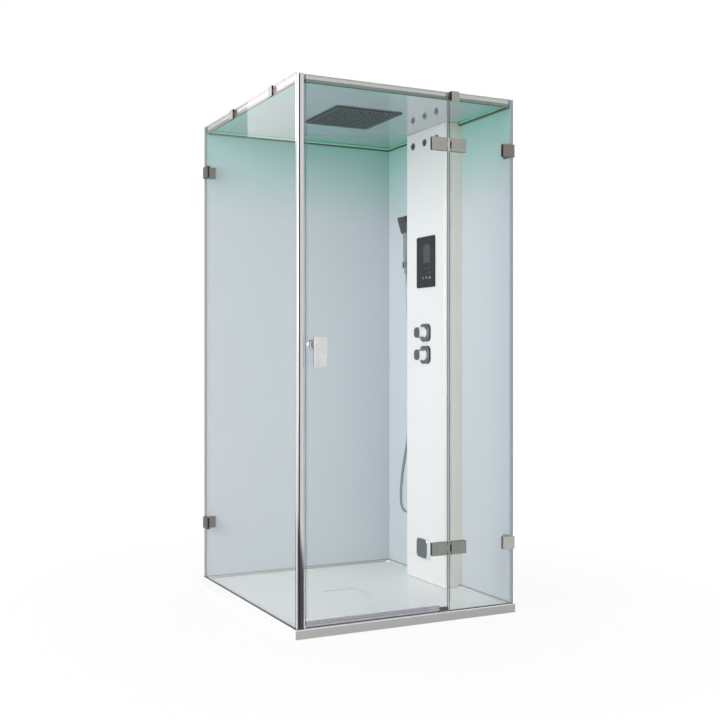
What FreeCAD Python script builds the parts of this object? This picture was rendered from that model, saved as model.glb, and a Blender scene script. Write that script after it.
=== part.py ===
"""Steam shower cabin: low tray, glass walls, hinged glass door, roof with rain head, and a service column.

Millimetres. The origin is the centre of the tray's underside, +Z is up, the door is on the -Y side
and the service column stands against the +X wall.
"""

import FreeCAD
import Part
import math
import os

V = FreeCAD.Vector

# ---- cabin
tray_w = 1000.0           # tray, left to right
tray_d = 1000.0           # tray, front to back
tray_h = 35.0             # tray rim above the bathroom floor
cabin_h = 2100.0          # top of the glass and of the roof frame above the bathroom floor
glass_t = 6.0             # every pane and wall panel
glass_inset = 8.0         # outer face of the glass, in from the tray's edge
butt_gap = 0.5            # silicone joint where two panes butt
slip = 0.3                # gap between pieces that move past each other
seat_gap = 0.2            # gap between a loose piece and its seat
over = 1.0                # how far a cutting shape passes the face that it cuts
edge_share = 0.2          # bevel of a plate's front edge, as a share of its thickness

# ---- tray and drain
rim_w = 30.0              # flat rim that the glass stands on
floor_drop = 7.0          # rim down to the edge of the shower floor
floor_fall = 4.0          # slope of the floor, its edge down to the drain
tray_corner_r = 4.0
basin_corner_r = 20.0
tray_edge = 2.5           # bevel of the tray's top edge
drain_x = -25.0
drain_y = -25.0
cover_side = 148.0        # square drain cover
cover_t = 5.0
cover_corner_r = 4.0
cover_gap = 4.0           # slot round the cover, where the water goes
pad_h = 3.0               # corner pads that carry the cover
pad_side = 14.0
flange_w = 8.0            # waste flange round the bowl
flange_t = 2.0
bowl_r = 40.0             # waste bowl, inside
bowl_wall = 2.0
bowl_depth = 11.0
outlet_r = 20.0           # waste outlet bore
outlet_wall = 4.0

# ---- corner post
post_side = 25.0
post_wall = 1.5
post_corner_r = 2.5
post_proud = 3.0          # post's front face in front of the glass face
post_cap_h = 10.0
groove_w = 6.0            # upright groove in the post's front
groove_d = 3.0

# ---- door and seals
fixed_pane_w = 308.0      # fixed front pane beside the door
pane_gap = 8.0            # between the door and the fixed front pane
post_strip_w = 4.0        # magnetic strip on the post
door_strip_w = 4.0        # magnetic strip on the door
strip_gap = 0.5
strip_lip = 8.0           # lips of the door strip along the glass
strip_lip_t = 1.2
door_lift = 12.0          # door glass above the tray rim
door_top_gap = 2.0        # door glass below the cabin's top
seal_t = 2.0              # bedding seal under the fixed panes
seal_w = 8.0
sweep_h = 25.0            # clear drip seal along the door's bottom edge
sweep_t = 1.5
sweep_gap = 1.5           # above the tray rim
sweep_block_l = 36.0      # grey end piece of the drip seal at the hinge side
sweep_block_h = 12.0
sweep_block_t = 11.0
fin_w = 12.0              # clear strip that closes the gap beside the hinges
fin_t = 1.2
fin_lap = 2.0             # lap of the fin behind the door glass

# ---- hinges
hinge_low = 286.0         # lower hinge above the bathroom floor
hinge_drop = 210.0        # upper hinge below the cabin's top
hinge_h = 52.0
leaf_l = 80.0             # pivot to the end of a leaf
plate_t = 6.0
barrel_in = 1.5           # barrel set back from the plate's face
barrel_gap = 2.5          # barrel to plate
knuckle_share = 0.5       # middle knuckle, as a share of the hinge's height
pin_r = 4.0
bush_t = 2.0
run_fit = 0.05            # radial play of a turning fit
notch_clear = 1.5         # glass notch round the barrel
plate_edge = 1.0          # bevel round a plate
screw_r = 3.0
glass_hole_r = 6.0

# ---- corner clamps, at the hinge heights
clamp_leg = 51.0
clamp_t = 5.0
clamp_screw_in = 26.0     # screw, in from the glass corner

# ---- handle
handle_in = 38.0          # handle, in from the door glass's free edge
handle_z = 1091.0
handle_plate_w = 54.0
handle_plate_h = 112.0
handle_plate_t = 10.0
handle_above = 29.0       # plate above the stem's axis
handle_reach = 41.0       # glass to plate
handle_stem_r = 9.0
handle_foot_r = 14.0
handle_foot_t = 3.0
handle_bolt_r = 4.0
knob_r = 19.0
knob_l = 50.0

# ---- roof
rail_w = 28.0
rail_h = 17.0
rail_wall = 1.6
rail_gap = 1.0            # rail to glass
leg_drop = 11.0           # outer leg below the rail, with a shelf for the lights
leg_t = 2.0
shelf_w = 15.0
bead_h = 4.0              # black bead between the leg and the glass
bead_w = 4.0
key_leg = 70.0
ceiling_t = 5.0
ceiling_gap = 16.0        # shadow gap between the rail's outer face and the ceiling panel
light_w = 9.0
light_t = 3.0
light_off = 1.0           # light strip from the leg
clip_w = 36.0
clip_t = 4.0
clip_leg = 36.0
clip_reach = 27.0
front_clip_in = 25.0      # front clip, in from the fixed pane's edge
side_clip_ys = (-260.0, 150.0)

# ---- rain head
head_x = -8.0
head_y = -38.0
head_side = 312.0
head_t = 6.0
head_corner_r = 5.0
head_box_side = 292.0
head_box_h = 14.0
head_box_wall = 2.0
head_box_gap = 1.0
spray_rows = 6
spray_pitch = 46.0
spray_hole = 7.0
boss_r = 15.0
boss_h = 10.0

# ---- service column
column_d = 86.0           # wall panel to the column's face
column_w = 325.0
column_y = 25.0
column_wall = 3.0
column_corner_r = 12.0
column_return = 18.0      # flange against the wall panel
column_clear = 1.0        # column to floor, ceiling and roof shelf

# ---- adjustable jets at the column's top
jet_drop = 61.0           # jets below the ceiling panel
jet_spread = 97.0
jet_ball_r = 12.0
jet_shell = 3.0
jet_bezel_t = 3.0
jet_bezel_lip = 2.0
jet_ball_in = 2.0         # ball centre behind the column's face
jet_flat = 9.0            # flat front, ahead of the ball's centre
jet_snout_r = 5.5
jet_snout_l = 4.0
trunnion_r = 2.0
manifold_r = 7.0

# ---- control panel
panel_off = 12.0          # control panel in front of the column's middle
panel_z = 1475.0
panel_w = 147.0
panel_h = 231.0
panel_t = 6.0
panel_corner_r = 6.0
case_inset = 8.0
case_d = 15.0
case_wall = 2.0
board_t = 1.6
board_in = 12.0           # board's edge, in from the glass's edge
board_post = 4.0
display_w = 62.0
display_h = 83.0

# ---- mixer
valve_y = 18.0
thermostat_z = 1055.0
knob_pitch = 100.0        # diverter above the thermostat
plate_side = 80.0
plate_corner_r = 22.0
valve_plate_t = 8.0
knob_side = 52.0
knob_corner_r = 18.0
knob_tip_side = 48.0
knob_reach = 48.0         # column face to knob face
knob_dish = 1.0
valve_r = 21.0
cartridge_r = 16.0
spindle_r = 6.0
spindle_l = 22.0          # spindle inside the cartridge
button_r = 3.7
button_l = 13.0
button_proud = 3.0
button_in = 6.0           # button axis from the knob's base
inlet_pitch = 150.0
inlet_thread_r = 9.3
inlet_thread_l = 14.0
inlet_wall = 3.0
inlet_flange_t = 3.0
inlet_flange_w = 5.0
mixer_in = 45.0           # mixer's middle behind the column's face
mixer_half = 19.0
mixer_over = 6.0          # casting beyond the cartridge chambers
port_off = 14.0           # outlet ports on the casting's top, from the valves' line

# ---- steam
outlet_z = 181.0
outlet_side = 88.0
outlet_corner_r = 20.0
outlet_depth = 22.0
outlet_wall_t = 2.5
outlet_slot_w = 50.0
outlet_slot_t = 9.0
boiler_w = 230.0
boiler_h = 300.0
boiler_z = 300.0
boiler_d = 62.0
boiler_edge_r = 10.0
steam_pipe_r = 10.0
steam_port_wall = 3.0
boiler_back = 9.0         # wall panel to the steam generator

# ---- pipes
pipe_r = 8.0
elbow_wall = 1.0          # square elbow beyond its pipe
roof_pipe_rise = 18.0     # roof pipe above the cabin's top

# ---- hand shower and hose
handset_out = 56.0        # hand shower from the right panel
handset_back = 48.5       # hand shower behind the column's side
handset_base_z = 1440.0
nut_r = 9.5
nut_h = 20.0
cone_low_r = 10.0
cone_high_r = 12.5
cone_h = 42.0
grip_l = 130.0
handset_w = 64.0
wedge_h = 76.0
wedge_tip = 30.0          # top of the spray face, in front of the handle's axis
wedge_foot = 7.0          # bottom of the spray face
wedge_back = 14.0         # back of the wedge behind the handle's axis
wedge_edge_r = 3.0
wedge_crown = 10.0        # back of the head above the spray face's top
wedge_nose = 4.0          # blunt top of the spray face
grip_flat = 4.0           # how much the grip flattens from the cone to the head
grip_high_r = 6.0
spray_t = 3.0
spray_margin = 5.0
spray_corner_r = 4.0
holder_h = 28.0
holder_z = 1468.0
holder_wall = 4.0
holder_slot = 14.0
elbow_out = 23.0          # outlet elbow from the right panel
elbow_reach = 26.5
elbow_z = 642.0
elbow_r = 11.0
spout_r = 10.0
nut_drop = 6.0            # hose nut below the elbow's axis
hose_r = 6.0
hose_bends = (            # out from the right panel, back from the column's side, height
    (56.0, 48.5, 660.0),
    (62.0, 66.0, 535.0),
    (66.0, 76.0, 440.0),
    (66.0, 79.0, 350.0),
    (54.2, 71.7, 308.3),
    (26.8, 32.3, 308.3),
    (13.0, 12.5, 350.0),
    (14.0, 15.5, 440.0),
    (23.0, 26.5, 540.0),
)
hose_end_z = 620.0

# ---- planes that several pieces share
glass_xl = -tray_w / 2 + glass_inset            # outer face of the left glass
glass_xr = tray_w / 2 - glass_inset             # outer face of the right panel
glass_yf = -tray_d / 2 + glass_inset            # outer face of the front glass
glass_yb = tray_d / 2 - glass_inset             # outer face of the back panel
in_xl = glass_xl + glass_t
in_xr = glass_xr - glass_t
in_yf = glass_yf + glass_t
in_yb = glass_yb - glass_t
mid_yf = glass_yf + glass_t / 2                 # pivot line of the door
glass_z0 = tray_h + seal_t                      # bottom of the fixed panes
floor_z = tray_h - floor_drop                   # edge of the shower floor
drain_z = floor_z - floor_fall                  # floor at the drain cover
post_xl = in_xl + butt_gap
post_yf = glass_yf - post_proud
post_xr = post_xl + post_side
post_yb = post_yf + post_side
rail_z0 = cabin_h - rail_h                      # underside of the roof rails
ceiling_z = rail_z0 - ceiling_t                 # underside of the ceiling panel
leg_z0 = rail_z0 - leg_drop                     # underside of the rails' leg and shelf
roof_low = leg_z0 - bead_h                      # underside of the roof's bead
frame_xl = in_xl + rail_gap
frame_xr = in_xr - rail_gap
frame_yf = in_yf + rail_gap
frame_yb = in_yb - rail_gap
column_x = in_xr - column_d                     # face of the column
column_side = column_y + column_w / 2           # its side towards the back wall
hinge_heights = (hinge_low, cabin_h - hinge_drop)
hinge_x = glass_xr - fixed_pane_w - pane_gap / 2
door_x0 = post_xr + post_strip_w + strip_gap + door_strip_w
door_x1 = hinge_x - pane_gap / 2
fixed_x0 = hinge_x + pane_gap / 2
handle_x = door_x0 + handle_in
jet_z = ceiling_z - jet_drop
diverter_z = thermostat_z + knob_pitch
roof_pipe_z = cabin_h + roof_pipe_rise
handset_x = in_xr - handset_out
handset_y = column_side + handset_back
grip_z0 = handset_base_z + nut_h + cone_h
wedge_low_z = grip_z0 + grip_l
wedge_high_z = wedge_low_z + wedge_h
wedge_tip_x = handset_x - wedge_tip
wedge_foot_x = handset_x - wedge_foot
elbow_x = in_xr - elbow_out
elbow_y = column_side + elbow_reach
door_z0 = tray_h + door_lift
door_z1 = cabin_h - door_top_gap
barrel_r = glass_t / 2 + plate_t - barrel_in
hose_route = [(handset_x, handset_y, handset_base_z)]
hose_route += [(in_xr - out, column_side + back, z) for out, back, z in hose_bends]
hose_route += [(elbow_x, elbow_y, hose_end_z)]
plate_start = barrel_r + barrel_gap             # metal plates, away from the pivot
panel_y = column_y - panel_off
jet_ys = [column_y + a * jet_spread for a in (-1, 0, 1)]
bezel_r = jet_ball_r + slip + jet_shell
manifold_x = column_x + jet_ball_r + jet_ball_in + jet_shell + manifold_r
mixer_x = column_x + mixer_in
mixer_top = diverter_z + valve_r + mixer_over
feed_y = valve_y - port_off                     # feed pipe to the jets
riser_y = valve_y + port_off                    # pipe to the rain head
riser_x = frame_xr - rail_w - pipe_r - column_clear
inlet_ys = [valve_y + a * inlet_pitch / 2 for a in (-1, 1)]
inlet_barrel_r = inlet_thread_r + inlet_wall
steam_x = in_xr - boiler_back - boiler_d / 2


def box(x0, x1, y0, y1, z0, z1):
    """Block between two corners."""
    return Part.makeBox(x1 - x0, y1 - y0, z1 - z0, V(x0, y0, z0))


def rod(radius, start, end):
    """Round bar between two points."""
    a = V(*start)
    b = V(*end)
    return Part.makeCylinder(radius, a.distanceToPoint(b), a, b - a)


def stud(radius, start, end):
    """Six-sided clamping stud between two points, kept plain because it repeats."""
    a = V(*start)
    b = V(*end)
    axis = (b - a).normalize()
    side = V(0, 0, radius)
    spoke = axis.cross(side)
    half = math.sqrt(0.75)
    ring = [a + side, a + side * 0.5 + spoke * half, a - side * 0.5 + spoke * half,
            a - side, a - side * 0.5 - spoke * half, a + side * 0.5 - spoke * half]
    return Part.Face(Part.makePolygon(ring + ring[:1])).extrude(b - a)


def elbowed_pipe(points, radius):
    """Straight pipes along the points, joined by square elbows."""
    half = radius + elbow_wall
    lengths = [rod(radius, start, end) for start, end in zip(points, points[1:])]
    elbows = [box(x - half, x + half, y - half, y + half, z - half, z + half) for x, y, z in points[1:-1]]
    return lengths[0].fuse(lengths[1:] + elbows).removeSplitter()


def on_x(x):
    """Drawing plane across X: u runs along Y and v along Z."""
    return lambda u, v: V(x, u, v)


def on_y(y):
    """Drawing plane across Y: u runs along X and v along Z."""
    return lambda u, v: V(u, y, v)


def on_z(z):
    """Drawing plane across Z: u runs along X and v along Y."""
    return lambda u, v: V(u, v, z)


def rounded_wire(plane, u, v, width, height, radius):
    """Rectangle with round corners about the point u, v of a drawing plane."""
    edges = []
    hw = width / 2
    hh = height / 2
    corner = math.sqrt(0.5) * radius
    for a, b in ((1, 1), (-1, 1), (-1, -1), (1, -1)):
        cu = u + a * (hw - radius)
        cv = v + b * (hh - radius)
        across = plane(cu + a * radius, cv)
        along = plane(cu, cv + b * radius)
        middle = plane(cu + a * corner, cv + b * corner)
        first, last = (across, along) if a * b > 0 else (along, across)
        edges.append((first, middle, last))
    wire = []
    for i, (first, middle, last) in enumerate(edges):
        wire.append(Part.Arc(first, middle, last).toShape())
        wire.append(Part.LineSegment(last, edges[(i + 1) % 4][0]).toShape())
    return Part.Wire(wire)


def rounded_plate(plane, u, v, width, height, radius, depth):
    """Plate with round corners, thickened from its drawing plane by the vector depth."""
    return Part.Face(rounded_wire(plane, u, v, width, height, radius)).extrude(V(*depth))


def outline(plane, points, depth):
    """Straight-sided outline, thickened by the vector depth."""
    return Part.Face(Part.makePolygon([plane(u, v) for u, v in points + points[:1]])).extrude(V(*depth))


def turned(points, centre, axis):
    """Solid turned about an axis through centre: points are (radius, distance along the axis)."""
    direction = V(*axis)
    side = V(0, 0, 1) if abs(direction.z) < math.sqrt(0.5) else V(1, 0, 0)
    origin = V(*centre)
    corners = [origin + side * r + direction * t for r, t in points + points[:1]]
    return Part.Face(Part.makePolygon(corners)).revolve(origin, direction, 360)


def bent_path(points, radii):
    """Straight runs joined by tangent arcs, one radius for each inner point."""
    places = [V(*p) for p in points]
    edges = []
    start = places[0]
    for before, here, after, radius in zip(places, places[1:], places[2:], radii):
        back = (before - here).normalize()
        ahead = (after - here).normalize()
        half = (math.pi - back.getAngle(ahead)) / 2
        reach = radius * math.tan(half)
        inward = (back + ahead).normalize()
        first = here + back * reach
        last = here + ahead * reach
        middle = here + inward * (radius / math.cos(half) - radius)
        edges.append(Part.LineSegment(start, first).toShape())
        edges.append(Part.Arc(first, middle, last).toShape())
        start = last
    edges.append(Part.LineSegment(start, places[-1]).toShape())
    return Part.Wire(edges)


def pipe_along(path, radius):
    """Round bar swept along a path of runs and arcs."""
    start = path.Edges[0].valueAt(path.Edges[0].FirstParameter)
    ahead = path.Edges[0].tangentAt(path.Edges[0].FirstParameter)
    ring = Part.Wire(Part.Circle(start, ahead, radius).toShape())
    return path.makePipeShell([ring], True, False)


def soften(shape, radius, chosen):
    """Rounds the edges for which chosen(edge) holds."""
    return shape.makeFillet(radius, [edge for edge in shape.Edges if chosen(edge)])


def bevel(shape, width, chosen):
    """Bevels the edges for which chosen(edge) holds."""
    return shape.makeChamfer(width, [edge for edge in shape.Edges if chosen(edge)])


def upright(edge):
    """Straight edges that run up."""
    return abs(edge.tangentAt(edge.FirstParameter).z) > math.cos(math.radians(1))


def along_y(edge):
    """Straight edges that run from front to back."""
    return abs(edge.tangentAt(edge.FirstParameter).y) > math.cos(math.radians(1))


def at_height(z):
    """Edges that lie wholly at one height."""
    return lambda edge: abs(edge.BoundBox.ZMin - z) < slip and abs(edge.BoundBox.ZMax - z) < slip


def at_side(y):
    """Edges that lie wholly at one depth."""
    return lambda edge: abs(edge.BoundBox.YMin - y) < slip and abs(edge.BoundBox.YMax - y) < slip


def in_front_of(x):
    """Edges that lie wholly in front of a plane across X, on the side of the cabin's middle."""
    return lambda edge: edge.BoundBox.XMax < x


# ---- tray, drain and bedding seals

def make_tray():
    """Cast tray: rounded slab, sloped floor, recess and bowl for the drain."""
    slab = rounded_plate(on_z(0), 0, 0, tray_w, tray_d, tray_corner_r, (0, 0, tray_h))
    slab = bevel(slab, tray_edge, at_height(tray_h))
    basin_w = tray_w - 2 * rim_w
    basin_d = tray_d - 2 * rim_w
    recess = cover_side + 2 * cover_gap
    basin = rounded_plate(on_z(floor_z), 0, 0, basin_w, basin_d, basin_corner_r, (0, 0, floor_drop))
    half = recess / 2
    # The fall is cut by a wedge drawn on its side, then turned up.
    slope = Part.makeWedge(drain_x - half, drain_z, -drain_y - half, -basin_d / 2, -basin_w / 2,
                           drain_x + half, floor_z, -drain_y + half, basin_d / 2, basin_w / 2)
    slope.rotate(V(0, 0, 0), V(1, 0, 0), 90)
    slope = slope.common(rounded_plate(on_z(0), 0, 0, basin_w, basin_d, basin_corner_r, (0, 0, tray_h)))
    well_z = drain_z - cover_t - pad_h
    well = rounded_plate(on_z(well_z), drain_x, drain_y, recess, recess, cover_corner_r, (0, 0, tray_h))
    bowl = rod(bowl_r + bowl_wall + seat_gap, (drain_x, drain_y, well_z - bowl_depth - seat_gap),
               (drain_x, drain_y, tray_h))
    tail = rod(outlet_r + outlet_wall + seat_gap, (drain_x, drain_y, 0), (drain_x, drain_y, tray_h))
    tray = slab.cut([basin, slope, well, bowl, tail])
    pads = []
    reach = recess / 2
    for a in (-1, 1):
        for b in (-1, 1):
            x = drain_x + a * (reach - pad_side / 2)
            y = drain_y + b * (reach - pad_side / 2)
            half = pad_side / 2
            pads.append(box(x - half, x + half, y - half, y + half, well_z, well_z + pad_h))
    return tray.fuse(pads).removeSplitter()


def make_drain_cover():
    """Square lift-out cover with softened top edge."""
    low = drain_z - cover_t
    side = cover_side
    cover = rounded_plate(on_z(low), drain_x, drain_y, side, side, cover_corner_r, (0, 0, cover_t))
    return bevel(cover, edge_share * cover_t, at_height(drain_z))


def make_drain_waste():
    """Turned waste: flange, shallow bowl and outlet tail."""
    top = drain_z - cover_t - pad_h
    out = bowl_r + bowl_wall
    profile = [
        (outlet_r, seat_gap - top),
        (outlet_r + outlet_wall, seat_gap - top),
        (outlet_r + outlet_wall, -bowl_depth),
        (out, -bowl_depth),
        (out, 0),
        (out + flange_w, 0),
        (out + flange_w, flange_t),
        (bowl_r, flange_t),
        (bowl_r, bowl_wall - bowl_depth),
        (outlet_r, bowl_wall - bowl_depth),
    ]
    return turned(profile, (drain_x, drain_y, top), (0, 0, 1))


def make_glass_seals():
    """Bedding strips under the fixed panes, and the bead between the roof's leg and the glass."""
    half = (seal_w - glass_t) / 2
    x0 = glass_xl - half
    x1 = glass_xr + half
    y0 = glass_yf - half
    y1 = glass_yb + half
    post_room = box(post_xl - slip, post_xr, post_yf, post_yb + slip, 0, cabin_h)
    strips = [
        box(x0, x0 + seal_w, y0, y1, tray_h, glass_z0).cut(post_room),
        box(x0 + seal_w, x1, y1 - seal_w, y1, tray_h, glass_z0),
        box(x1 - seal_w, x1, y0 + seal_w, y1 - seal_w, tray_h, glass_z0),
        box(fixed_x0, x1, y0, y0 + seal_w, tray_h, glass_z0),
    ]
    start = slip - rail_gap
    bead = [(start, roof_low), (bead_w, roof_low), (bead_w, leg_z0), (start, leg_z0)]
    return strips + [keep_off_post(side) for side in mitred_sides(bead)]


# ---- roof frame

def mitred_sides(section, hollow=None):
    """Four mitred lengths round the roof: section points are (distance in from the frame, height)."""
    deep = rail_w * 2
    corners = [(frame_xl, frame_yf), (frame_xr, frame_yf), (frame_xr, frame_yb), (frame_xl, frame_yb)]
    inward = [(0, 1), (-1, 0), (0, -1), (1, 0)]
    low = min(z for u, z in section)
    sides = []
    for i in range(4):
        (ax, ay), (bx, by) = corners[i], corners[(i + 1) % 4]
        nx, ny = inward[i]
        length = math.hypot(bx - ax, by - ay)
        tx = (bx - ax) / length
        ty = (by - ay) / length
        bars = []
        for points, extra in ((section, 0), (hollow, over)):
            if points:
                sx = ax - tx * (deep + extra)
                sy = ay - ty * (deep + extra)
                ring = [V(sx + nx * u, sy + ny * u, z) for u, z in points]
                face = Part.Face(Part.makePolygon(ring + ring[:1]))
                bars.append(face.extrude(V(tx, ty, 0) * (length + 2 * (deep + extra))))
        keystone = [
            V(ax - (tx + nx) * deep, ay - (ty + ny) * deep, low),
            V(bx + (tx - nx) * deep, by + (ty - ny) * deep, low),
            V(bx - (tx - nx) * deep, by - (ty - ny) * deep, low),
            V(ax + (tx + nx) * deep, ay + (ty + ny) * deep, low),
        ]
        wedge = Part.Face(Part.makePolygon(keystone + keystone[:1])).extrude(V(0, 0, cabin_h - low))
        bar = bars[0].cut(bars[1]) if hollow else bars[0]
        sides.append(bar.common(wedge))
    return sides


def keep_off_post(shape):
    """Leaves room for the corner post."""
    room = box(post_xl - rail_w, post_xr + butt_gap, post_yf - rail_w, post_yb + butt_gap, 0, 2 * cabin_h)
    return shape.cut(room)


def make_roof_rails():
    """Hollow mitred rails with an outer leg and a shelf that hides the lights from below."""
    w = rail_wall
    section = [
        (0, leg_z0),
        (shelf_w, leg_z0),
        (shelf_w, leg_z0 + leg_t),
        (leg_t, leg_z0 + leg_t),
        (leg_t, rail_z0),
        (rail_w, rail_z0),
        (rail_w, cabin_h),
        (0, cabin_h),
    ]
    hollow = [(w, rail_z0 + w), (rail_w - w, rail_z0 + w), (rail_w - w, cabin_h - w), (w, cabin_h - w)]
    return [keep_off_post(rail) for rail in mitred_sides(section, hollow)]


def make_roof_keys():
    """Angle keys inside three roof corners: the post holds the fourth."""
    w = rail_wall + seat_gap
    keys = []
    corners = ((frame_xr, frame_yf, -1, 1), (frame_xr, frame_yb, -1, -1), (frame_xl, frame_yb, 1, -1))
    for x, y, a, b in corners:
        near = w
        far = rail_w - w
        points = [(near, near), (key_leg, near), (key_leg, far), (far, far), (far, key_leg), (near, key_leg)]
        spots = [(x + a * u, y + b * v) for u, v in points]
        keys.append(outline(on_z(rail_z0 + w), spots, (0, 0, rail_h - 2 * w)))
    return keys


def make_ceiling():
    """Gloss ceiling panel with openings for the rain head and the riser."""
    g = ceiling_gap
    panel = box(frame_xl + g, frame_xr - g, frame_yf + g, frame_yb - g, ceiling_z, rail_z0)
    half = head_box_side / 2 + head_box_gap
    hole = box(head_x - half, head_x + half, head_y - half, head_y + half, 0, cabin_h)
    riser = rod(pipe_r + 2 * seat_gap, (riser_x, riser_y, 0), (riser_x, riser_y, 2 * cabin_h))
    return keep_off_post(panel.cut([hole, riser]))


def make_lights():
    """Light strips on the rails' shelf, stopped at the column."""
    u = leg_t + light_off
    low = leg_z0 + leg_t
    section = [(u, low), (u + light_w, low), (u + light_w, low + light_t), (u, low + light_t)]
    half = column_w / 2 + column_clear
    room = box(column_x, tray_w, column_y - half, column_y + half, 0, 2 * cabin_h)
    strips = []
    for side in mitred_sides(section):
        strips += keep_off_post(side).cut(room).Solids
    return strips


def make_roof_clips():
    """Clips over the glass edge, resting on the rail."""
    clips = []
    top = cabin_h + clip_t
    reach = glass_t + rail_gap + clip_reach
    profile = [(0, cabin_h - clip_leg), (clip_t, cabin_h - clip_leg), (clip_t, cabin_h),
               (reach, cabin_h), (reach, top), (0, top)]
    for x, y in clip_spots():
        if y is None:
            points = [(glass_yf - clip_t + u, z) for u, z in profile]
            clips.append(outline(on_x(x - clip_w / 2), points, (clip_w, 0, 0)))
        else:
            points = [(glass_xl - clip_t + u, z) for u, z in profile]
            clips.append(outline(on_y(y - clip_w / 2), points, (0, clip_w, 0)))
    return clips


def clip_spots():
    """Clip centres: one on the front pane (x, None), two on the left glass (None, y)."""
    return [(fixed_x0 + front_clip_in, None)] + [(None, y) for y in side_clip_ys]


# ---- rain head and its pipe

def make_head_box():
    """Shallow square chamber with a threaded boss, let into the ceiling."""
    top = ceiling_z + head_box_h
    half = head_box_side / 2
    inner = half - head_box_wall
    shell = box(head_x - half, head_x + half, head_y - half, head_y + half, ceiling_z, top)
    void = box(head_x - inner, head_x + inner, head_y - inner, head_y + inner, ceiling_z, top - head_box_wall)
    boss = rod(boss_r, (head_x, head_y, top), (head_x, head_y, top + boss_h))
    bore = rod(pipe_r, (head_x, head_y, ceiling_z), (head_x, head_y, top + boss_h))
    return shell.cut(void).fuse(boss).cut(bore).removeSplitter()


def make_head_plate():
    """Face plate of the rain head with its grid of spray holes."""
    low = ceiling_z - head_t
    plate = rounded_plate(on_z(low), head_x, head_y, head_side, head_side, head_corner_r, (0, 0, head_t))
    plate = bevel(plate, edge_share * head_t, at_height(low))
    holes = []
    half = spray_hole / 2
    first = -spray_pitch * (spray_rows - 1) / 2
    for i in range(spray_rows):
        for j in range(spray_rows):
            x = head_x + first + i * spray_pitch
            y = head_y + first + j * spray_pitch
            holes.append(box(x - half, x + half, y - half, y + half, low, ceiling_z))
    return plate.cut(holes)


def make_riser():
    """Pipe from the mixer up the column, over the roof and down into the rain head."""
    top = ceiling_z + head_box_h + boss_h
    points = [
        (riser_x, riser_y, mixer_top),
        (riser_x, riser_y, roof_pipe_z),
        (head_x, head_y, roof_pipe_z),
        (head_x, head_y, top),
    ]
    return elbowed_pipe(points, pipe_r)


# ---- corner post

def make_post():
    """Hollow square post with an upright groove in its front."""
    cx = post_xl + post_side / 2
    cy = post_yf + post_side / 2
    low = tray_h + post_cap_h
    high = cabin_h - clip_t
    wall = post_wall
    post = rounded_plate(on_z(low), cx, cy, post_side, post_side, post_corner_r, (0, 0, high - low))
    cell = box(post_xl + wall, post_xr - wall, post_yf + groove_d + wall, post_yb - wall, low, high)
    groove_x = post_xl + post_corner_r
    groove = box(groove_x, groove_x + groove_w, post_yf - over, post_yf + groove_d, low, high)
    return post.cut([cell, groove])


def make_post_caps():
    """Foot and top cap of the post."""
    cx = post_xl + post_side / 2
    cy = post_yf + post_side / 2
    side = post_side
    foot = rounded_plate(on_z(tray_h), cx, cy, side, side, post_corner_r, (0, 0, post_cap_h))
    top = rounded_plate(on_z(cabin_h - clip_t), cx, cy, side, side, post_corner_r, (0, 0, clip_t))
    return [foot, top]


# ---- panes, panels and what is drilled in them

def make_left_glass():
    """Fixed side pane, from the front corner to the back corner: the post stands inside it."""
    pane = box(glass_xl, in_xl, glass_yf, glass_yb, glass_z0, cabin_h)
    y = glass_yb - clamp_screw_in
    return pane.cut([rod(glass_hole_r, (glass_xl, y, z), (in_xl, y, z)) for z in hinge_heights])


def make_back_panel():
    """Opaque back wall of coated glass."""
    pane = box(in_xl + butt_gap, in_xr - butt_gap, in_yb, glass_yb, glass_z0, cabin_h)
    x = glass_xl + clamp_screw_in
    return pane.cut([rod(glass_hole_r, (x, in_yb, z), (x, glass_yb, z)) for z in hinge_heights])


def make_right_panel():
    """Opaque right wall of coated glass, drilled for the clamps and the water inlets."""
    pane = box(in_xr, glass_xr, in_yf + butt_gap, glass_yb, glass_z0, cabin_h)
    y = glass_yf + clamp_screw_in
    holes = [rod(glass_hole_r, (in_xr, y, z), (glass_xr, y, z)) for z in hinge_heights]
    bore = inlet_barrel_r + seat_gap
    holes += [rod(bore, (in_xr, y, thermostat_z), (glass_xr, y, thermostat_z)) for y in inlet_ys]
    return pane.cut(holes)


def make_front_glass():
    """Fixed front pane, notched round the hinge barrels."""
    pane = box(fixed_x0, glass_xr, glass_yf, in_yf, glass_z0, cabin_h)
    cuts = [barrel_notch(1, z) for z in hinge_heights]
    cuts += [glass_bore(x, z) for z in hinge_heights for x in (leaf_screw_x(1), glass_xr - clamp_screw_in)]
    return pane.cut(cuts)


def make_door_glass():
    """Door pane, notched round the hinge barrels and drilled for the handle."""
    pane = box(door_x0, door_x1, glass_yf, in_yf, door_z0, door_z1)
    cuts = [barrel_notch(-1, z) for z in hinge_heights]
    cuts += [glass_bore(leaf_screw_x(-1), z) for z in hinge_heights]
    cuts.append(rod(handle_bolt_r + slip, (handle_x, glass_yf - over, handle_z),
                    (handle_x, in_yf + over, handle_z)))
    return pane.cut(cuts)


def glass_bore(x, z):
    """Hole through the front glass for a clamping screw."""
    return rod(glass_hole_r, (x, glass_yf - over, z), (x, in_yf + over, z))


def barrel_notch(side, z):
    """Notch for a hinge barrel in the pane on one side of the pivot (-1 door, 1 fixed pane)."""
    half = hinge_h / 2 + notch_clear
    reach = hinge_x + side * (barrel_r + notch_clear)
    x0 = min(hinge_x, reach)
    x1 = max(hinge_x, reach)
    return box(x0, x1, glass_yf - over, in_yf + over, z - half, z + half)


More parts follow.
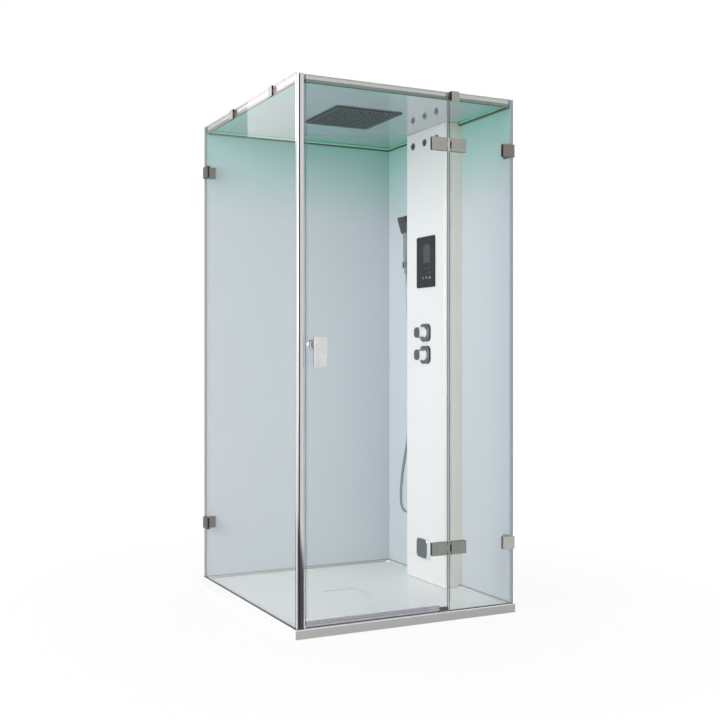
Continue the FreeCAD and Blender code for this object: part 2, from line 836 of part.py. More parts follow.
def make_rear_profile():
    """Angle profile outside the back right corner."""
    leg = post_side
    t = flange_t
    points = [
        (glass_xr - leg, glass_yb),
        (glass_xr, glass_yb),
        (glass_xr, glass_yb - leg),
        (glass_xr + t, glass_yb - leg),
        (glass_xr + t, glass_yb + t),
        (glass_xr - leg, glass_yb + t),
    ]
    return outline(on_z(glass_z0), points, (0, 0, cabin_h - glass_z0))


# ---- hinges, clamps and screws

def leaf_screw_x(side):
    """Clamping screw of one hinge leaf, in the middle of its plate."""
    return hinge_x + side * (plate_start + leaf_l) / 2


def make_hinge_leaf(side, z):
    """Outer hinge leaf: plate, webs and knuckles. The door's leaf has the middle knuckle."""
    y0 = glass_yf - plate_t
    a = hinge_x + side * plate_start
    b = hinge_x + side * leaf_l
    low = z - hinge_h / 2
    leaf = bevel(box(min(a, b), max(a, b), y0, glass_yf, low, low + hinge_h), plate_edge, at_side(y0))
    middle = hinge_h * knuckle_share
    end = (hinge_h - middle) / 2 - slip
    if side < 0:
        spans = [(z - middle / 2, middle)]
        bore = pin_r + run_fit + bush_t
    else:
        spans = [(low, end), (low + hinge_h - end, end)]
        bore = pin_r
    for start, height in spans:
        barrel = rod(barrel_r, (hinge_x, mid_yf, start), (hinge_x, mid_yf, start + height))
        lap = a + side * over
        web = box(min(hinge_x, lap), max(hinge_x, lap), glass_yf - plate_t / 2, glass_yf,
                  start, start + height)
        leaf = leaf.fuse([barrel, web])
    return leaf.cut(rod(bore, (hinge_x, mid_yf, low), (hinge_x, mid_yf, low + hinge_h))).removeSplitter()


def make_hinge_clamp(side, z):
    """Inner hinge plate with its clamping screw, which passes through the glass to the outer leaf."""
    a = hinge_x + side * plate_start
    b = hinge_x + side * leaf_l
    low = z - hinge_h / 2
    plate = box(min(a, b), max(a, b), in_yf, in_yf + plate_t, low, low + hinge_h)
    plate = bevel(plate, plate_edge, at_side(in_yf + plate_t))
    x = leaf_screw_x(side)
    return plate.fuse(stud(screw_r, (x, glass_yf, z), (x, in_yf, z)))


def make_hinge_pins():
    """Hinge pins, held in the fixed leaves."""
    return [rod(pin_r, (hinge_x, mid_yf, z - hinge_h / 2), (hinge_x, mid_yf, z + hinge_h / 2))
            for z in hinge_heights]


def make_hinge_bushes():
    """Plain bushes in the door's knuckles."""
    bushes = []
    half = hinge_h * knuckle_share / 2
    for z in hinge_heights:
        ends = ((hinge_x, mid_yf, z - half), (hinge_x, mid_yf, z + half))
        bushes.append(rod(pin_r + run_fit + bush_t, *ends).cut(rod(pin_r + run_fit, *ends)))
    return bushes


def clamp_corners():
    """Glass corners that carry clamps, as corner x, y and the way into the cabin."""
    return ((glass_xr, glass_yf, -1, 1), (glass_xl, glass_yb, 1, -1))


def make_clamps():
    """Angle clamps outside and inside two glass corners: the inner ones carry the clamping screws."""
    clamps = []
    t = clamp_t
    g = glass_t
    outer = [(-t, -t), (clamp_leg, -t), (clamp_leg, 0), (0, 0), (0, clamp_leg), (-t, clamp_leg)]
    inner = [(g, g), (clamp_leg, g), (clamp_leg, g + t), (g + t, g + t), (g + t, clamp_leg), (g, clamp_leg)]
    for x, y, a, b in clamp_corners():
        for z in hinge_heights:
            low = z - hinge_h / 2
            clamps.append(outline(on_z(low), [(x + a * u, y + b * v) for u, v in outer], (0, 0, hinge_h)))
            inside = outline(on_z(low), [(x + a * u, y + b * v) for u, v in inner], (0, 0, hinge_h))
            sx = x + a * clamp_screw_in
            sy = y + b * clamp_screw_in
            screws = [
                stud(screw_r, (sx, y, z), (sx, y + b * g, z)),
                stud(screw_r, (x, sy, z), (x + a * g, sy, z)),
            ]
            clamps.append(inside.fuse(screws))
    return clamps


# ---- door furniture and seals

def make_handle_plate():
    """Outer handle: thick upright plate on a turned stem with a foot on the glass."""
    y1 = glass_yf - handle_reach
    z0 = handle_z + handle_above - handle_plate_h
    x0 = handle_x - handle_plate_w / 2
    plate = box(x0, x0 + handle_plate_w, y1 - handle_plate_t, y1, z0, z0 + handle_plate_h)
    plate = bevel(plate, plate_edge, at_side(y1 - handle_plate_t))
    stem = rod(handle_stem_r, (handle_x, y1 - handle_plate_t / 2, handle_z), (handle_x, glass_yf, handle_z))
    foot = rod(handle_foot_r, (handle_x, glass_yf - handle_foot_t, handle_z), (handle_x, glass_yf, handle_z))
    bolt = rod(handle_bolt_r, (handle_x, glass_yf - handle_foot_t, handle_z),
               (handle_x, in_yf + handle_foot_r, handle_z))
    return plate.fuse([stem, foot, bolt]).removeSplitter()


def make_handle_knob():
    """Inner knob: foot, neck and ball, screwed on the outer handle's bolt."""
    middle = in_yf + knob_l - knob_r
    ball = Part.makeSphere(knob_r, V(handle_x, middle, handle_z))
    foot = rod(handle_foot_r, (handle_x, in_yf, handle_z), (handle_x, in_yf + handle_foot_t, handle_z))
    neck = rod(handle_stem_r, (handle_x, in_yf, handle_z), (handle_x, middle, handle_z))
    room = box(-tray_w, tray_w, in_yf, tray_d, 0, cabin_h)
    bore = rod(handle_bolt_r, (handle_x, in_yf, handle_z), (handle_x, in_yf + handle_foot_r, handle_z))
    return ball.common(room).fuse([foot, neck]).cut(bore).removeSplitter()


def make_door_strip():
    """Magnetic strip gripping the door's free edge."""
    x0 = door_x0 - door_strip_w
    y0 = glass_yf - strip_lip_t
    y1 = in_yf + strip_lip_t
    points = [
        (x0, y0),
        (door_x0 + strip_lip, y0),
        (door_x0 + strip_lip, glass_yf),
        (door_x0, glass_yf),
        (door_x0, in_yf),
        (door_x0 + strip_lip, in_yf),
        (door_x0 + strip_lip, y1),
        (x0, y1),
    ]
    top = roof_low
    return outline(on_z(door_z0 + sweep_h), points, (0, 0, top - door_z0 - sweep_h))


def make_fixed_strips():
    """Magnetic strip on the post, and the fin strips that close the gap beside the hinges."""
    y0 = glass_yf - strip_lip_t
    y1 = in_yf + strip_lip_t
    top = roof_low
    strips = [box(post_xr, post_xr + post_strip_w, y0, y1, door_z0 + sweep_h, top)]
    step = slip + seat_gap
    points = [
        (fixed_x0, in_yf),
        (fixed_x0 + fin_w, in_yf),
        (fixed_x0 + fin_w, in_yf + step + fin_t),
        (door_x1 - fin_lap, in_yf + step + fin_t),
        (door_x1 - fin_lap, in_yf + step),
        (fixed_x0, in_yf + step),
    ]
    clear = hinge_h / 2 + notch_clear
    start = door_z0 + sweep_h
    for z in hinge_heights:
        strips.append(outline(on_z(start), points, (0, 0, z - clear - start)))
        start = z + clear
    strips.append(outline(on_z(start), points, (0, 0, top - start)))
    return strips


def make_sweep():
    """Clear drip seal on the door's bottom edge: channel and drip lip."""
    y0 = glass_yf - sweep_t
    y1 = in_yf + sweep_t
    low = tray_h + sweep_gap
    top = low + sweep_h
    base = door_z0 - sweep_t
    points = [
        (y0, low),
        (glass_yf, low),
        (glass_yf, base),
        (y1, base),
        (y1, top),
        (in_yf, top),
        (in_yf, door_z0),
        (glass_yf, door_z0),
        (glass_yf, top),
        (y0, top),
    ]
    x0 = door_x0
    return outline(on_x(x0), points, (door_x1 - sweep_block_l - x0, 0, 0))


def make_sweep_block():
    """Grey end piece that closes the drip seal under the hinge side."""
    low = tray_h + sweep_gap + sweep_t
    block = box(door_x1 - sweep_block_l, door_x1, mid_yf - sweep_block_t / 2, mid_yf + sweep_block_t / 2,
                low, door_z0 + sweep_block_h / 2)
    slot = box(door_x1 - sweep_block_l - over, door_x1 + over, glass_yf, in_yf, door_z0, cabin_h)
    return block.cut(slot)


# ---- service column

def make_column():
    """Folded column cover: face, two sides and flanges, with its openings."""
    low = floor_z + column_clear
    high = ceiling_z - column_clear
    cx = column_x + column_d
    body = rounded_plate(on_z(low), cx, column_y, 2 * column_d, column_w, column_corner_r, (0, 0, high - low))
    w = column_wall
    inner = rounded_plate(on_z(low), cx, column_y, 2 * (column_d - w), column_w - 2 * w,
                          column_corner_r - w, (0, 0, high - low))
    half = column_w / 2
    room = box(column_x - over, in_xr, column_y - half - over, column_y + half + over,
               low - over, high + over)
    shell = body.cut(inner).common(room)
    flanges = []
    for a in (-1, 1):
        edge = column_y + a * (half - w)
        end = column_y + a * (half - column_return)
        flanges.append(box(in_xr - w, in_xr, min(edge, end), max(edge, end), low, high))
    shell = shell.fuse(flanges)
    shelf_x = frame_xr - shelf_w - column_clear
    cuts = [box(shelf_x, tray_w, -tray_d, tray_d, roof_low - column_clear, cabin_h)]
    rim_x = tray_w / 2 - rim_w - column_clear
    cuts.append(box(rim_x, tray_w, -tray_d, tray_d, 0, glass_z0 + column_clear))
    a = column_x - over
    b = column_x + w + over
    cuts += [rod(bezel_r, (a, y, jet_z), (b, y, jet_z)) for y in jet_ys]
    for z in (thermostat_z, diverter_z):
        cuts.append(rod(valve_r + column_clear, (a, valve_y, z), (b, valve_y, z)))
    cuts.append(rod(steam_pipe_r + slip, (a, valve_y, outlet_z), (b, valve_y, outlet_z)))
    case_y = panel_w / 2 - case_inset
    case_z = panel_h / 2 - case_inset
    cuts.append(box(a, b, panel_y - case_y, panel_y + case_y, panel_z - case_z, panel_z + case_z))
    return shell.cut(cuts).removeSplitter()


def make_bezels():
    """Jet sockets: flange on the column's face and a sleeve bored for the ball's trunnions."""
    depth = jet_ball_r + jet_ball_in + jet_shell
    bore = jet_ball_r + slip
    profile = [
        (bore, depth),
        (bezel_r, depth),
        (bezel_r, 0),
        (bezel_r + jet_bezel_lip, 0),
        (bezel_r + jet_bezel_lip, -jet_bezel_t),
        (bore, -jet_bezel_t),
    ]
    bezels = []
    x = column_x + jet_ball_in
    reach = bezel_r + over
    for y in jet_ys:
        bearing = rod(trunnion_r + run_fit, (x, y - reach, jet_z), (x, y + reach, jet_z))
        bezels.append(turned(profile, (column_x, y, jet_z), (1, 0, 0)).cut(bearing))
    return bezels


def make_jet_ball(y):
    """Jet ball with a flat front, a snout and two trunnions that it tilts on."""
    centre = V(column_x + jet_ball_in, y, jet_z)
    face = column_x + jet_ball_in - jet_flat
    r = jet_ball_r
    ball = Part.makeSphere(jet_ball_r, centre, V(0, 1, 0))
    flat = box(face - r, face, y - r, y + r, jet_z - r, jet_z + r)
    snout = rod(jet_snout_r, (face, y, jet_z), (face - jet_snout_l, y, jet_z))
    reach = r + slip + jet_shell / 2
    trunnions = rod(trunnion_r, (centre.x, y - reach, jet_z), (centre.x, y + reach, jet_z))
    return ball.cut(flat).fuse([snout, trunnions]).removeSplitter()


def make_manifold():
    """Square manifold behind the three jets, with its feed pipe from the mixer."""
    r = manifold_r
    bar = box(manifold_x - r, manifold_x + r, jet_ys[0] - 2 * r, jet_ys[-1] + 2 * r, jet_z - r, jet_z + r)
    feed = rod(r, (manifold_x, feed_y, mixer_top), (manifold_x, feed_y, jet_z - r))
    return bar.fuse(feed)


def make_panel_case():
    """Tray of the control panel, let into the column."""
    w = panel_w - 2 * case_inset - column_clear
    h = panel_h - 2 * case_inset - column_clear
    case = rounded_plate(on_x(column_x), panel_y, panel_z, w, h, panel_corner_r, (case_d, 0, 0))
    void = rounded_plate(on_x(column_x), panel_y, panel_z, w - 2 * case_wall, h - 2 * case_wall,
                         panel_corner_r - case_wall, (case_d - case_wall, 0, 0))
    return case.cut(void)


def make_panel_glass():
    """Black glass front of the control panel."""
    face = column_x - panel_t
    glass = rounded_plate(on_x(face), panel_y, panel_z, panel_w, panel_h, panel_corner_r, (panel_t, 0, 0))
    return bevel(glass, edge_share * panel_t, in_front_of(face + slip))


def make_panel_board():
    """Circuit board with its display block behind the control panel's glass."""
    half_w = panel_w / 2 - board_in
    half_h = panel_h / 2 - board_in
    x = column_x + case_d / 2
    board = box(x, x + board_t, panel_y - half_w, panel_y + half_w, panel_z - half_h, panel_z + half_h)
    display = box(column_x + seat_gap, x, panel_y - display_w / 2, panel_y + display_w / 2,
                  panel_z, panel_z + display_h)
    posts = []
    back = column_x + case_d - case_wall
    for a in (-1, 1):
        for b in (-1, 1):
            y = panel_y + a * (half_w - board_post / 2)
            z = panel_z + b * (half_h - board_post / 2)
            half = board_post / 2
            posts.append(box(x, back, y - half, y + half, z - half, z + half))
    return board.fuse([display] + posts).removeSplitter()


# ---- mixer, knobs and steam

def make_mixer():
    """Brass casting: block, two cartridge chambers, crossbar and inlet legs."""
    half = mixer_half
    block = box(mixer_x - half, mixer_x + half, valve_y - 2 * half, valve_y + 2 * half,
                thermostat_z - valve_r - mixer_over, mixer_top)
    parts = []
    cuts = []
    for z in (thermostat_z, diverter_z):
        parts.append(rod(valve_r, (column_x + slip, valve_y, z), (mixer_x, valve_y, z)))
        cuts.append(rod(cartridge_r, (column_x - over, valve_y, z), (mixer_x, valve_y, z)))
    bar = inlet_barrel_r
    parts.append(box(mixer_x - bar, mixer_x + bar, inlet_ys[0] - bar, inlet_ys[1] + bar,
                     thermostat_z - bar, thermostat_z + bar))
    leg_end = glass_xr + inlet_flange_t - inlet_thread_l - inlet_wall
    for y in inlet_ys:
        parts.append(rod(inlet_thread_r, (mixer_x, y, thermostat_z), (leg_end, y, thermostat_z)))
    return block.fuse(parts).cut(cuts).removeSplitter()


def make_cartridges():
    """Thermostat and diverter cartridges in the mixer's chambers."""
    cartridges = []
    for z in (thermostat_z, diverter_z):
        body = rod(cartridge_r, (column_x + slip, valve_y, z), (mixer_x, valve_y, z))
        bore = rod(spindle_r + run_fit, (column_x, valve_y, z), (column_x + spindle_l + slip, valve_y, z))
        body = body.cut(bore)
        cartridges.append(body)
    return cartridges


def make_valve_plates():
    """Rounded square plates behind the two knobs."""
    plates = []
    face = column_x - valve_plate_t
    for z in (thermostat_z, diverter_z):
        side = plate_side
        plate = rounded_plate(on_x(face), valve_y, z, side, side, plate_corner_r, (valve_plate_t, 0, 0))
        plate = bevel(plate, edge_share * valve_plate_t, in_front_of(face + slip))
        hole = rod(spindle_r + 2 * slip, (face - over, valve_y, z), (column_x + over, valve_y, z))
        plates.append(plate.cut(hole))
    return plates


def make_knob(z):
    """Rounded square knob with its spindle: its face has a dish two thirds of its width."""
    base = column_x - valve_plate_t - slip
    tip = column_x - knob_reach
    low = rounded_wire(on_x(base), valve_y, z, knob_side, knob_side, knob_corner_r)
    high = rounded_wire(on_x(tip), valve_y, z, knob_tip_side, knob_tip_side, knob_corner_r)
    knob = Part.makeLoft([low, high], True, True)
    half = knob_tip_side / 3
    dish_r = (half ** 2 + knob_dish ** 2) / (2 * knob_dish)
    dish = Part.makeSphere(dish_r, V(tip - dish_r + knob_dish, valve_y, z))
    spindle = rod(spindle_r, (base - valve_plate_t, valve_y, z), (column_x + spindle_l, valve_y, z))
    return knob.cut(dish).fuse(spindle).removeSplitter()


def make_thermostat_knob():
    """Thermostat knob, bored for the safety button."""
    knob = make_knob(thermostat_z)
    x = column_x - valve_plate_t - slip - button_in
    z1 = thermostat_z + knob_side / 2
    return knob.cut(rod(button_r + slip, (x, valve_y, z1 - button_l), (x, valve_y, z1 + knob_side)))


def make_safety_button():
    """Safety button in the top of the thermostat knob."""
    x = column_x - valve_plate_t - slip - button_in
    z1 = thermostat_z + knob_side / 2 + button_proud
    return rod(button_r, (x, valve_y, z1 - button_l), (x, valve_y, z1))


def make_inlets():
    """Threaded inlet sockets through the right panel."""
    sockets = []
    length = inlet_thread_l + inlet_wall
    for y in inlet_ys:
        profile = [
            (0, 0),
            (inlet_barrel_r, 0),
            (inlet_barrel_r, length - inlet_flange_t),
            (inlet_barrel_r + inlet_flange_w, length - inlet_flange_t),
            (inlet_barrel_r + inlet_flange_w, length),
            (inlet_thread_r, length),
            (inlet_thread_r, inlet_wall),
            (0, inlet_wall),
        ]
        start = glass_xr + inlet_flange_t - length
        sockets.append(turned(profile, (start, y, thermostat_z), (1, 0, 0)))
    return sockets


def make_boiler():
    """Steam generator in the foot of the column."""
    x1 = in_xr - boiler_back
    half = boiler_w / 2
    tank = box(x1 - boiler_d, x1, column_y - half, column_y + half, boiler_z, boiler_z + boiler_h)
    tank = soften(tank, boiler_edge_r, upright)
    bracket = box(x1, in_xr, column_y - half / 2, column_y + half / 2,
                  boiler_z + boiler_h / 2, boiler_z + boiler_h / 2 + boiler_edge_r)
    port = rod(steam_pipe_r + steam_port_wall, (steam_x, valve_y, boiler_z - steam_pipe_r),
               (steam_x, valve_y, boiler_z))
    return tank.fuse([bracket, port]).removeSplitter()


def make_steam_pipe():
    """Steam pipe from the generator down and out to the outlet."""
    points = [
        (steam_x, valve_y, boiler_z - steam_pipe_r),
        (steam_x, valve_y, outlet_z),
        (column_x - outlet_depth / 2, valve_y, outlet_z),
    ]
    return elbowed_pipe(points, steam_pipe_r)


def make_steam_outlet():
    """Rounded square steam outlet: hollow cap, open below."""
    face = column_x - outlet_depth
    side = outlet_side
    cap = rounded_plate(on_x(face), valve_y, outlet_z, side, side, outlet_corner_r, (outlet_depth, 0, 0))
    cap = bevel(cap, outlet_wall_t / 2, in_front_of(face + slip))
    w = outlet_wall_t
    void = rounded_plate(on_x(face + w), valve_y, outlet_z, side - 2 * w, side - 2 * w, outlet_corner_r - w,
                         (outlet_depth, 0, 0))
    slot = box(column_x - w - outlet_slot_t, column_x - w, valve_y - outlet_slot_w / 2,
               valve_y + outlet_slot_w / 2, outlet_z - side, outlet_z)
    return cap.cut([void, slot])


# ---- hand shower

def wedge_front(z):
    """Front of the hand shower's head at a height."""
    share = (z - wedge_low_z) / (wedge_high_z - wedge_low_z)
    return wedge_foot_x + share * (wedge_tip_x - wedge_foot_x)


def make_head():
    """Wedge-shaped head of the hand shower, hollow behind the spray plate's rim."""
    back = handset_x + wedge_back
    points = [
        (wedge_front(wedge_low_z), wedge_low_z),
        (back, wedge_low_z),
        (back, wedge_high_z + wedge_crown),
        (wedge_tip_x + wedge_nose, wedge_high_z),
        (wedge_tip_x, wedge_high_z - wedge_nose),
    ]
    y0 = handset_y - handset_w / 2
    head = outline(on_y(y0), points, (0, handset_w, 0))
    head = soften(head, wedge_edge_r, along_y)
    return head.cut(make_spray_plate())


def make_spray_plate():
    """Spray plate let into the sloping front of the head."""
    slope = math.atan2(wedge_foot_x - wedge_tip_x, wedge_high_z - wedge_low_z)
    length = (wedge_high_z - wedge_low_z) / math.cos(slope) - 2 * (spray_margin + wedge_nose)
    middle_z = (wedge_low_z + wedge_high_z - wedge_nose) / 2
    width = handset_w - 2 * spray_margin
    plate = rounded_plate(on_x(0), 0, 0, width, length, spray_corner_r, (spray_t, 0, 0))
    plate.rotate(V(0, 0, 0), V(0, 1, 0), -math.degrees(slope))
    plate.translate(V(wedge_front(middle_z), handset_y, middle_z))
    return plate


def make_handset_handle():
    """Handle and hose nut of the hand shower."""
    z1 = handset_base_z + nut_h
    z2 = grip_z0
    cone = Part.makeCone(cone_low_r, cone_high_r, cone_h, V(handset_x, handset_y, z1))
    low = rounded_wire(on_z(z2), handset_x, handset_y, 2 * cone_high_r - grip_flat, 2 * cone_high_r,
                       cone_high_r - grip_flat)
    high = rounded_wire(on_z(wedge_low_z), handset_x, handset_y, 2 * (wedge_back - grip_flat),
                        2 * (cone_high_r + grip_flat), grip_high_r)
    grip = Part.makeLoft([low, high], True, True)
    nut = rod(nut_r, (handset_x, handset_y, handset_base_z), (handset_x, handset_y, z1))
    return [cone.fuse(grip).removeSplitter(), nut]


def make_holder():
    """Holder on the column's side: arm and slotted ring with a tapered bore."""
    outer = cone_high_r + slip + holder_wall
    ring = rod(outer, (handset_x, handset_y, holder_z), (handset_x, handset_y, holder_z + holder_h))
    arm = box(handset_x - outer / 2, handset_x + outer / 2, column_side, handset_y,
              holder_z + holder_wall, holder_z + holder_h - holder_wall)
    middle_z = holder_z + holder_h / 2
    foot = rod(outer, (handset_x, column_side, middle_z), (handset_x, column_side + holder_wall, middle_z))
    growth = (cone_high_r - cone_low_r) / cone_h
    z1 = handset_base_z + nut_h
    low_r = cone_low_r + growth * (holder_z - over - z1) + slip
    high_r = cone_low_r + growth * (holder_z + holder_h + over - z1) + slip
    bore = Part.makeCone(low_r, high_r, holder_h + 2 * over, V(handset_x, handset_y, holder_z - over))
    slot = box(handset_x - 2 * outer, handset_x, handset_y - holder_slot / 2, handset_y + holder_slot / 2,
               holder_z - over, holder_z + holder_h + over)
    return ring.fuse([arm, foot]).cut([bore, slot]).removeSplitter()


def make_elbow():
    """Hose outlet elbow on the column's side, with its hose nut."""
    nut_top = elbow_z - nut_drop
    spout = rod(spout_r, (elbow_x, elbow_y, nut_top), (elbow_x, elbow_y, elbow_z + spout_r / 2))
    arm = rod(elbow_r, (elbow_x, column_side, elbow_z), (elbow_x, elbow_y + hose_r, elbow_z))
    flange = rod(2 * elbow_r, (elbow_x, column_side, elbow_z), (elbow_x, column_side + holder_wall, elbow_z))
    nut = rod(nut_r, (elbow_x, elbow_y, hose_end_z), (elbow_x, elbow_y, nut_top))
    room = box(0, in_xr, 0, tray_d, 0, cabin_h)
    return [arm.fuse([spout, flange]).common(room).removeSplitter(), nut]


def make_hose():
    """Free hose from the handset to the elbow: straight runs joined by tangent arcs."""
    places = [V(*p) for p in hose_route]
    radii = []
    for before, here, after in zip(places, places[1:], places[2:]):
        shorter = min(before.distanceToPoint(here), here.distanceToPoint(after))
        turn = (here - before).getAngle(after - here)
        radii.append(0.45 * shorter / math.tan(turn / 2))
    path = bent_path(hose_route, radii)
    hose = pipe_along(path, hose_r)
    print("hose arc radii in mm:", [round(radius) for radius in radii])
    print("hose length %.0f mm, volume over section x length %.4f"
          % (path.Length, hose.Volume / (math.pi * hose_r ** 2 * path.Length)))
    return hose


# ---- build

def save(name, pieces):
    """Writes one node: a solid, or a group of separate solids."""
    pieces = pieces if isinstance(pieces, list) else [pieces]
    solids = [solid for piece in pieces for solid in piece.Solids]
    for solid in solids:
        if not solid.isValid() or solid.Volume <= 0:
            print("not sound:", name)
    shape = solids[0] if len(solids) == 1 else Part.makeCompound(solids)
    shape.exportStep(os.path.join("parts", name + ".step"))


def main():
    """Builds and writes every node."""
    os.makedirs("parts", exist_ok=True)
    save("tray", make_tray())
    save("drain_cover", make_drain_cover())
    save("drain_waste", make_drain_waste())
    save("glass_seals", make_glass_seals())
    save("left_glass", make_left_glass())
    save("back_panel", make_back_panel())
    save("right_panel", make_right_panel())
    save("front_fixed_glass", make_front_glass())
    save("corner_post", make_post())
    save("post_caps", make_post_caps())
    save("rear_corner_profile", make_rear_profile())
    save("roof_rails", make_roof_rails())
    save("roof_corner_keys", make_roof_keys())
    save("roof_clips", make_roof_clips())
    save("ceiling_panel", make_ceiling())
    save("light_strips", make_lights())
    save("rain_head_box", make_head_box())
    save("rain_head_plate", make_head_plate())
    save("rain_riser_pipe", make_riser())
    save("corner_clamps", make_clamps())
    save("door_glass", make_door_glass())
    save("hinge_door_leaves", [make_hinge_leaf(-1, z) for z in hinge_heights])
    save("hinge_fixed_leaves", [make_hinge_leaf(1, z) for z in hinge_heights])
    save("hinge_door_clamps", [make_hinge_clamp(-1, z) for z in hinge_heights])
    save("hinge_fixed_clamps", [make_hinge_clamp(1, z) for z in hinge_heights])
    save("hinge_pins", make_hinge_pins())
    save("hinge_bushes", make_hinge_bushes())
    save("handle_plate", make_handle_plate())
    save("handle_knob", make_handle_knob())
    save("door_magnet_strip", make_door_strip())
    save("fixed_strips", make_fixed_strips())
    save("door_sweep", make_sweep())
    save("sweep_end_block", make_sweep_block())
    save("column_shell", make_column())
    save("jet_bezels", make_bezels())
    for name, y in zip(("front", "middle", "rear"), jet_ys):
        save("jet_ball_" + name, make_jet_ball(y))
    save("jet_manifold", make_manifold())
    save("control_case", make_panel_case())
    save("control_glass", make_panel_glass())
    save("control_board", make_panel_board())
    save("mixer_body", make_mixer())
    save("valve_cartridges", make_cartridges())
    save("valve_plates", make_valve_plates())
    save("diverter_knob", make_knob(diverter_z))
    save("thermostat_knob", make_thermostat_knob())
    save("safety_button", make_safety_button())
    save("inlet_sockets", make_inlets())
    save("steam_generator", make_boiler())
    save("steam_pipe", make_steam_pipe())
    save("steam_outlet_cover", make_steam_outlet())
    save("hand_shower_head", make_head())
    save("hand_spray_plate", make_spray_plate())
    save("hand_shower_handle", make_handset_handle())
    save("handset_holder", make_holder())
    save("hose_elbow", make_elbow())
    save("shower_hose", make_hose())


if __name__ == "__main__":
    main()
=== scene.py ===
import math

import bpy
import numpy as np
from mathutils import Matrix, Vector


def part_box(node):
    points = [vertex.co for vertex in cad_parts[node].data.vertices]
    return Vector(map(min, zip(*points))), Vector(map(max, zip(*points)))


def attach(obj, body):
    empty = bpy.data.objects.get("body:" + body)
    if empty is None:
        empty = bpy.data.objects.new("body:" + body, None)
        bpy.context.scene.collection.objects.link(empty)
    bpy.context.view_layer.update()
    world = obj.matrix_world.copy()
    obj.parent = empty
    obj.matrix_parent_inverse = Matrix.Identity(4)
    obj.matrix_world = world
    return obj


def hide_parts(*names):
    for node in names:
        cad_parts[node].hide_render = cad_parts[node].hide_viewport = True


bl_info = {
    "name": "Steam shower cabin dresser",
    "version": (1, 0, 0),
    "blender": (4, 5, 0),
    "location": "View3D > Sidebar > Shower",
    "description": "Finishes the steel, glass and acrylic of a steam shower cabin and adds its small pieces",
    "category": "Object",
}

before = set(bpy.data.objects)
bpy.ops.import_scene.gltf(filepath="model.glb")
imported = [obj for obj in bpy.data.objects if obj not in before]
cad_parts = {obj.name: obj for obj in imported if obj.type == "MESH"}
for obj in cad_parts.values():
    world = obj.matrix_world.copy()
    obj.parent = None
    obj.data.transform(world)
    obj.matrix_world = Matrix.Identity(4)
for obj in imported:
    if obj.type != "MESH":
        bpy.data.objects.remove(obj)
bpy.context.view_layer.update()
MM = 0.001

# Control points of the hose, in metres: the solid's route, but for the straight run, which lies up to
# 15 mm further behind the column's edge.
HOSE_ROUTE = (
    (0.4300, 0.2360, 1.4400),
    (0.4440, 0.2360, 1.2800),
    (0.4450, 0.2360, 0.7880),
    (0.4430, 0.2380, 0.6600),
    (0.4270, 0.2535, 0.5350),
    (0.4200, 0.2635, 0.4400),
    (0.4200, 0.2665, 0.3500),
    (0.4318, 0.2592, 0.3083),
    (0.4592, 0.2198, 0.3083),
    (0.4730, 0.2000, 0.3500),
    (0.4720, 0.2030, 0.4400),
    (0.4630, 0.2140, 0.5400),
    (0.4630, 0.2140, 0.6200),
)
HOSE_LENGTH = 1.491

# Middles of the roof clips along their rails.
FRONT_CLIP_X = 209 * MM
LEFT_CLIP_YS = (-260 * MM, 150 * MM)

# Camera of the photograph, from the cabin's vanishing points: place, yaw in degrees, lens and frame shift.
CAMERA_PLACE = (-2.0735, -3.8313, 1.0506)
CAMERA_YAW = -24.182
CAMERA_LENS = 49.92
CAMERA_SHIFT = (0.1169, -0.0059)

# Soft lamps: name, place, aim, power in watts, side in metres, colour. The last one shows in the left glass
# as the pale patch of the photograph.
LAMPS = (
    ("left_panel", (-4.6, -0.9, 2.6), (0, 0, 1.0), 150, 3.0, "#FFFFFF"),
    ("low_left_panel", (-4.6, -0.9, 1.2), (0, 0, 1.3), 50, 2.0, "#FFFFFF"),
    ("front_panel", (-0.4, -4.8, 2.0), (0, 0, 1.0), 45, 3.0, "#FFFFFF"),
    ("back_panel_lamp", (3.4, 3.6, 2.8), (0, 0, 1.0), 90, 3.0, "#FFFFFF"),
    ("mirrored_soft_box", (-2.082, 2.6, 3.078), (-2.082, 0, 3.078), 7.5, 1.0, "#FFEAEC"),
)


# ---------------------------------------------------------------- small helpers

def linear(hex_text):
    """sRGB hex to a linear colour with alpha 1: below the toe divide by 12.92, above it raise to 2.4."""
    value = np.array([int(hex_text[i:i + 2], 16) for i in (1, 3, 5)]) / 255
    return (*np.where(value <= 0.04045, value / 12.92, ((value + 0.055) / 1.055) ** 2.4), 1.0)


def add(tree, kind, settings=None, values=None, **links):
    """Adds one node, sets its properties and socket values, and links sockets by name or number."""
    node = tree.nodes.new(kind)
    for key, value in (settings or {}).items():
        setattr(node, key, value)
    for key, value in (values or {}).items():
        node.inputs[key].default_value = value
    for key, source in links.items():
        numbered = key[0] == "n" and key[1:].isdigit()
        target = node.inputs[int(key[1:]) if numbered else key.replace("_", " ")]
        tree.links.new(source, target)
    return node


def blank(name):
    """A material with an empty node tree, its output and object coordinates."""
    material = bpy.data.materials.new(name)
    material.use_nodes = True
    tree = material.node_tree
    tree.nodes.clear()
    output = add(tree, "ShaderNodeOutputMaterial")
    place = add(tree, "ShaderNodeTexCoord")
    return material, tree, output, place


def mix_colour(tree, factor, first, second):
    """Output socket of a mix of two colours, each an sRGB hex or a socket."""
    node = add(tree, "ShaderNodeMix", {"data_type": "RGBA"}, n0=factor)
    for number, colour in ((6, first), (7, second)):
        if isinstance(colour, str):
            node.inputs[number].default_value = linear(colour)
        else:
            tree.links.new(colour, node.inputs[number])
    return node.outputs[2]


def calc(tree, operation, *terms):
    """Output socket of one sum on numbers or sockets."""
    node = add(tree, "ShaderNodeMath", {"operation": operation})
    for slot, term in zip(node.inputs, terms):
        if isinstance(term, bpy.types.NodeSocket):
            tree.links.new(term, slot)
        else:
            slot.default_value = term
    return node.outputs[0]


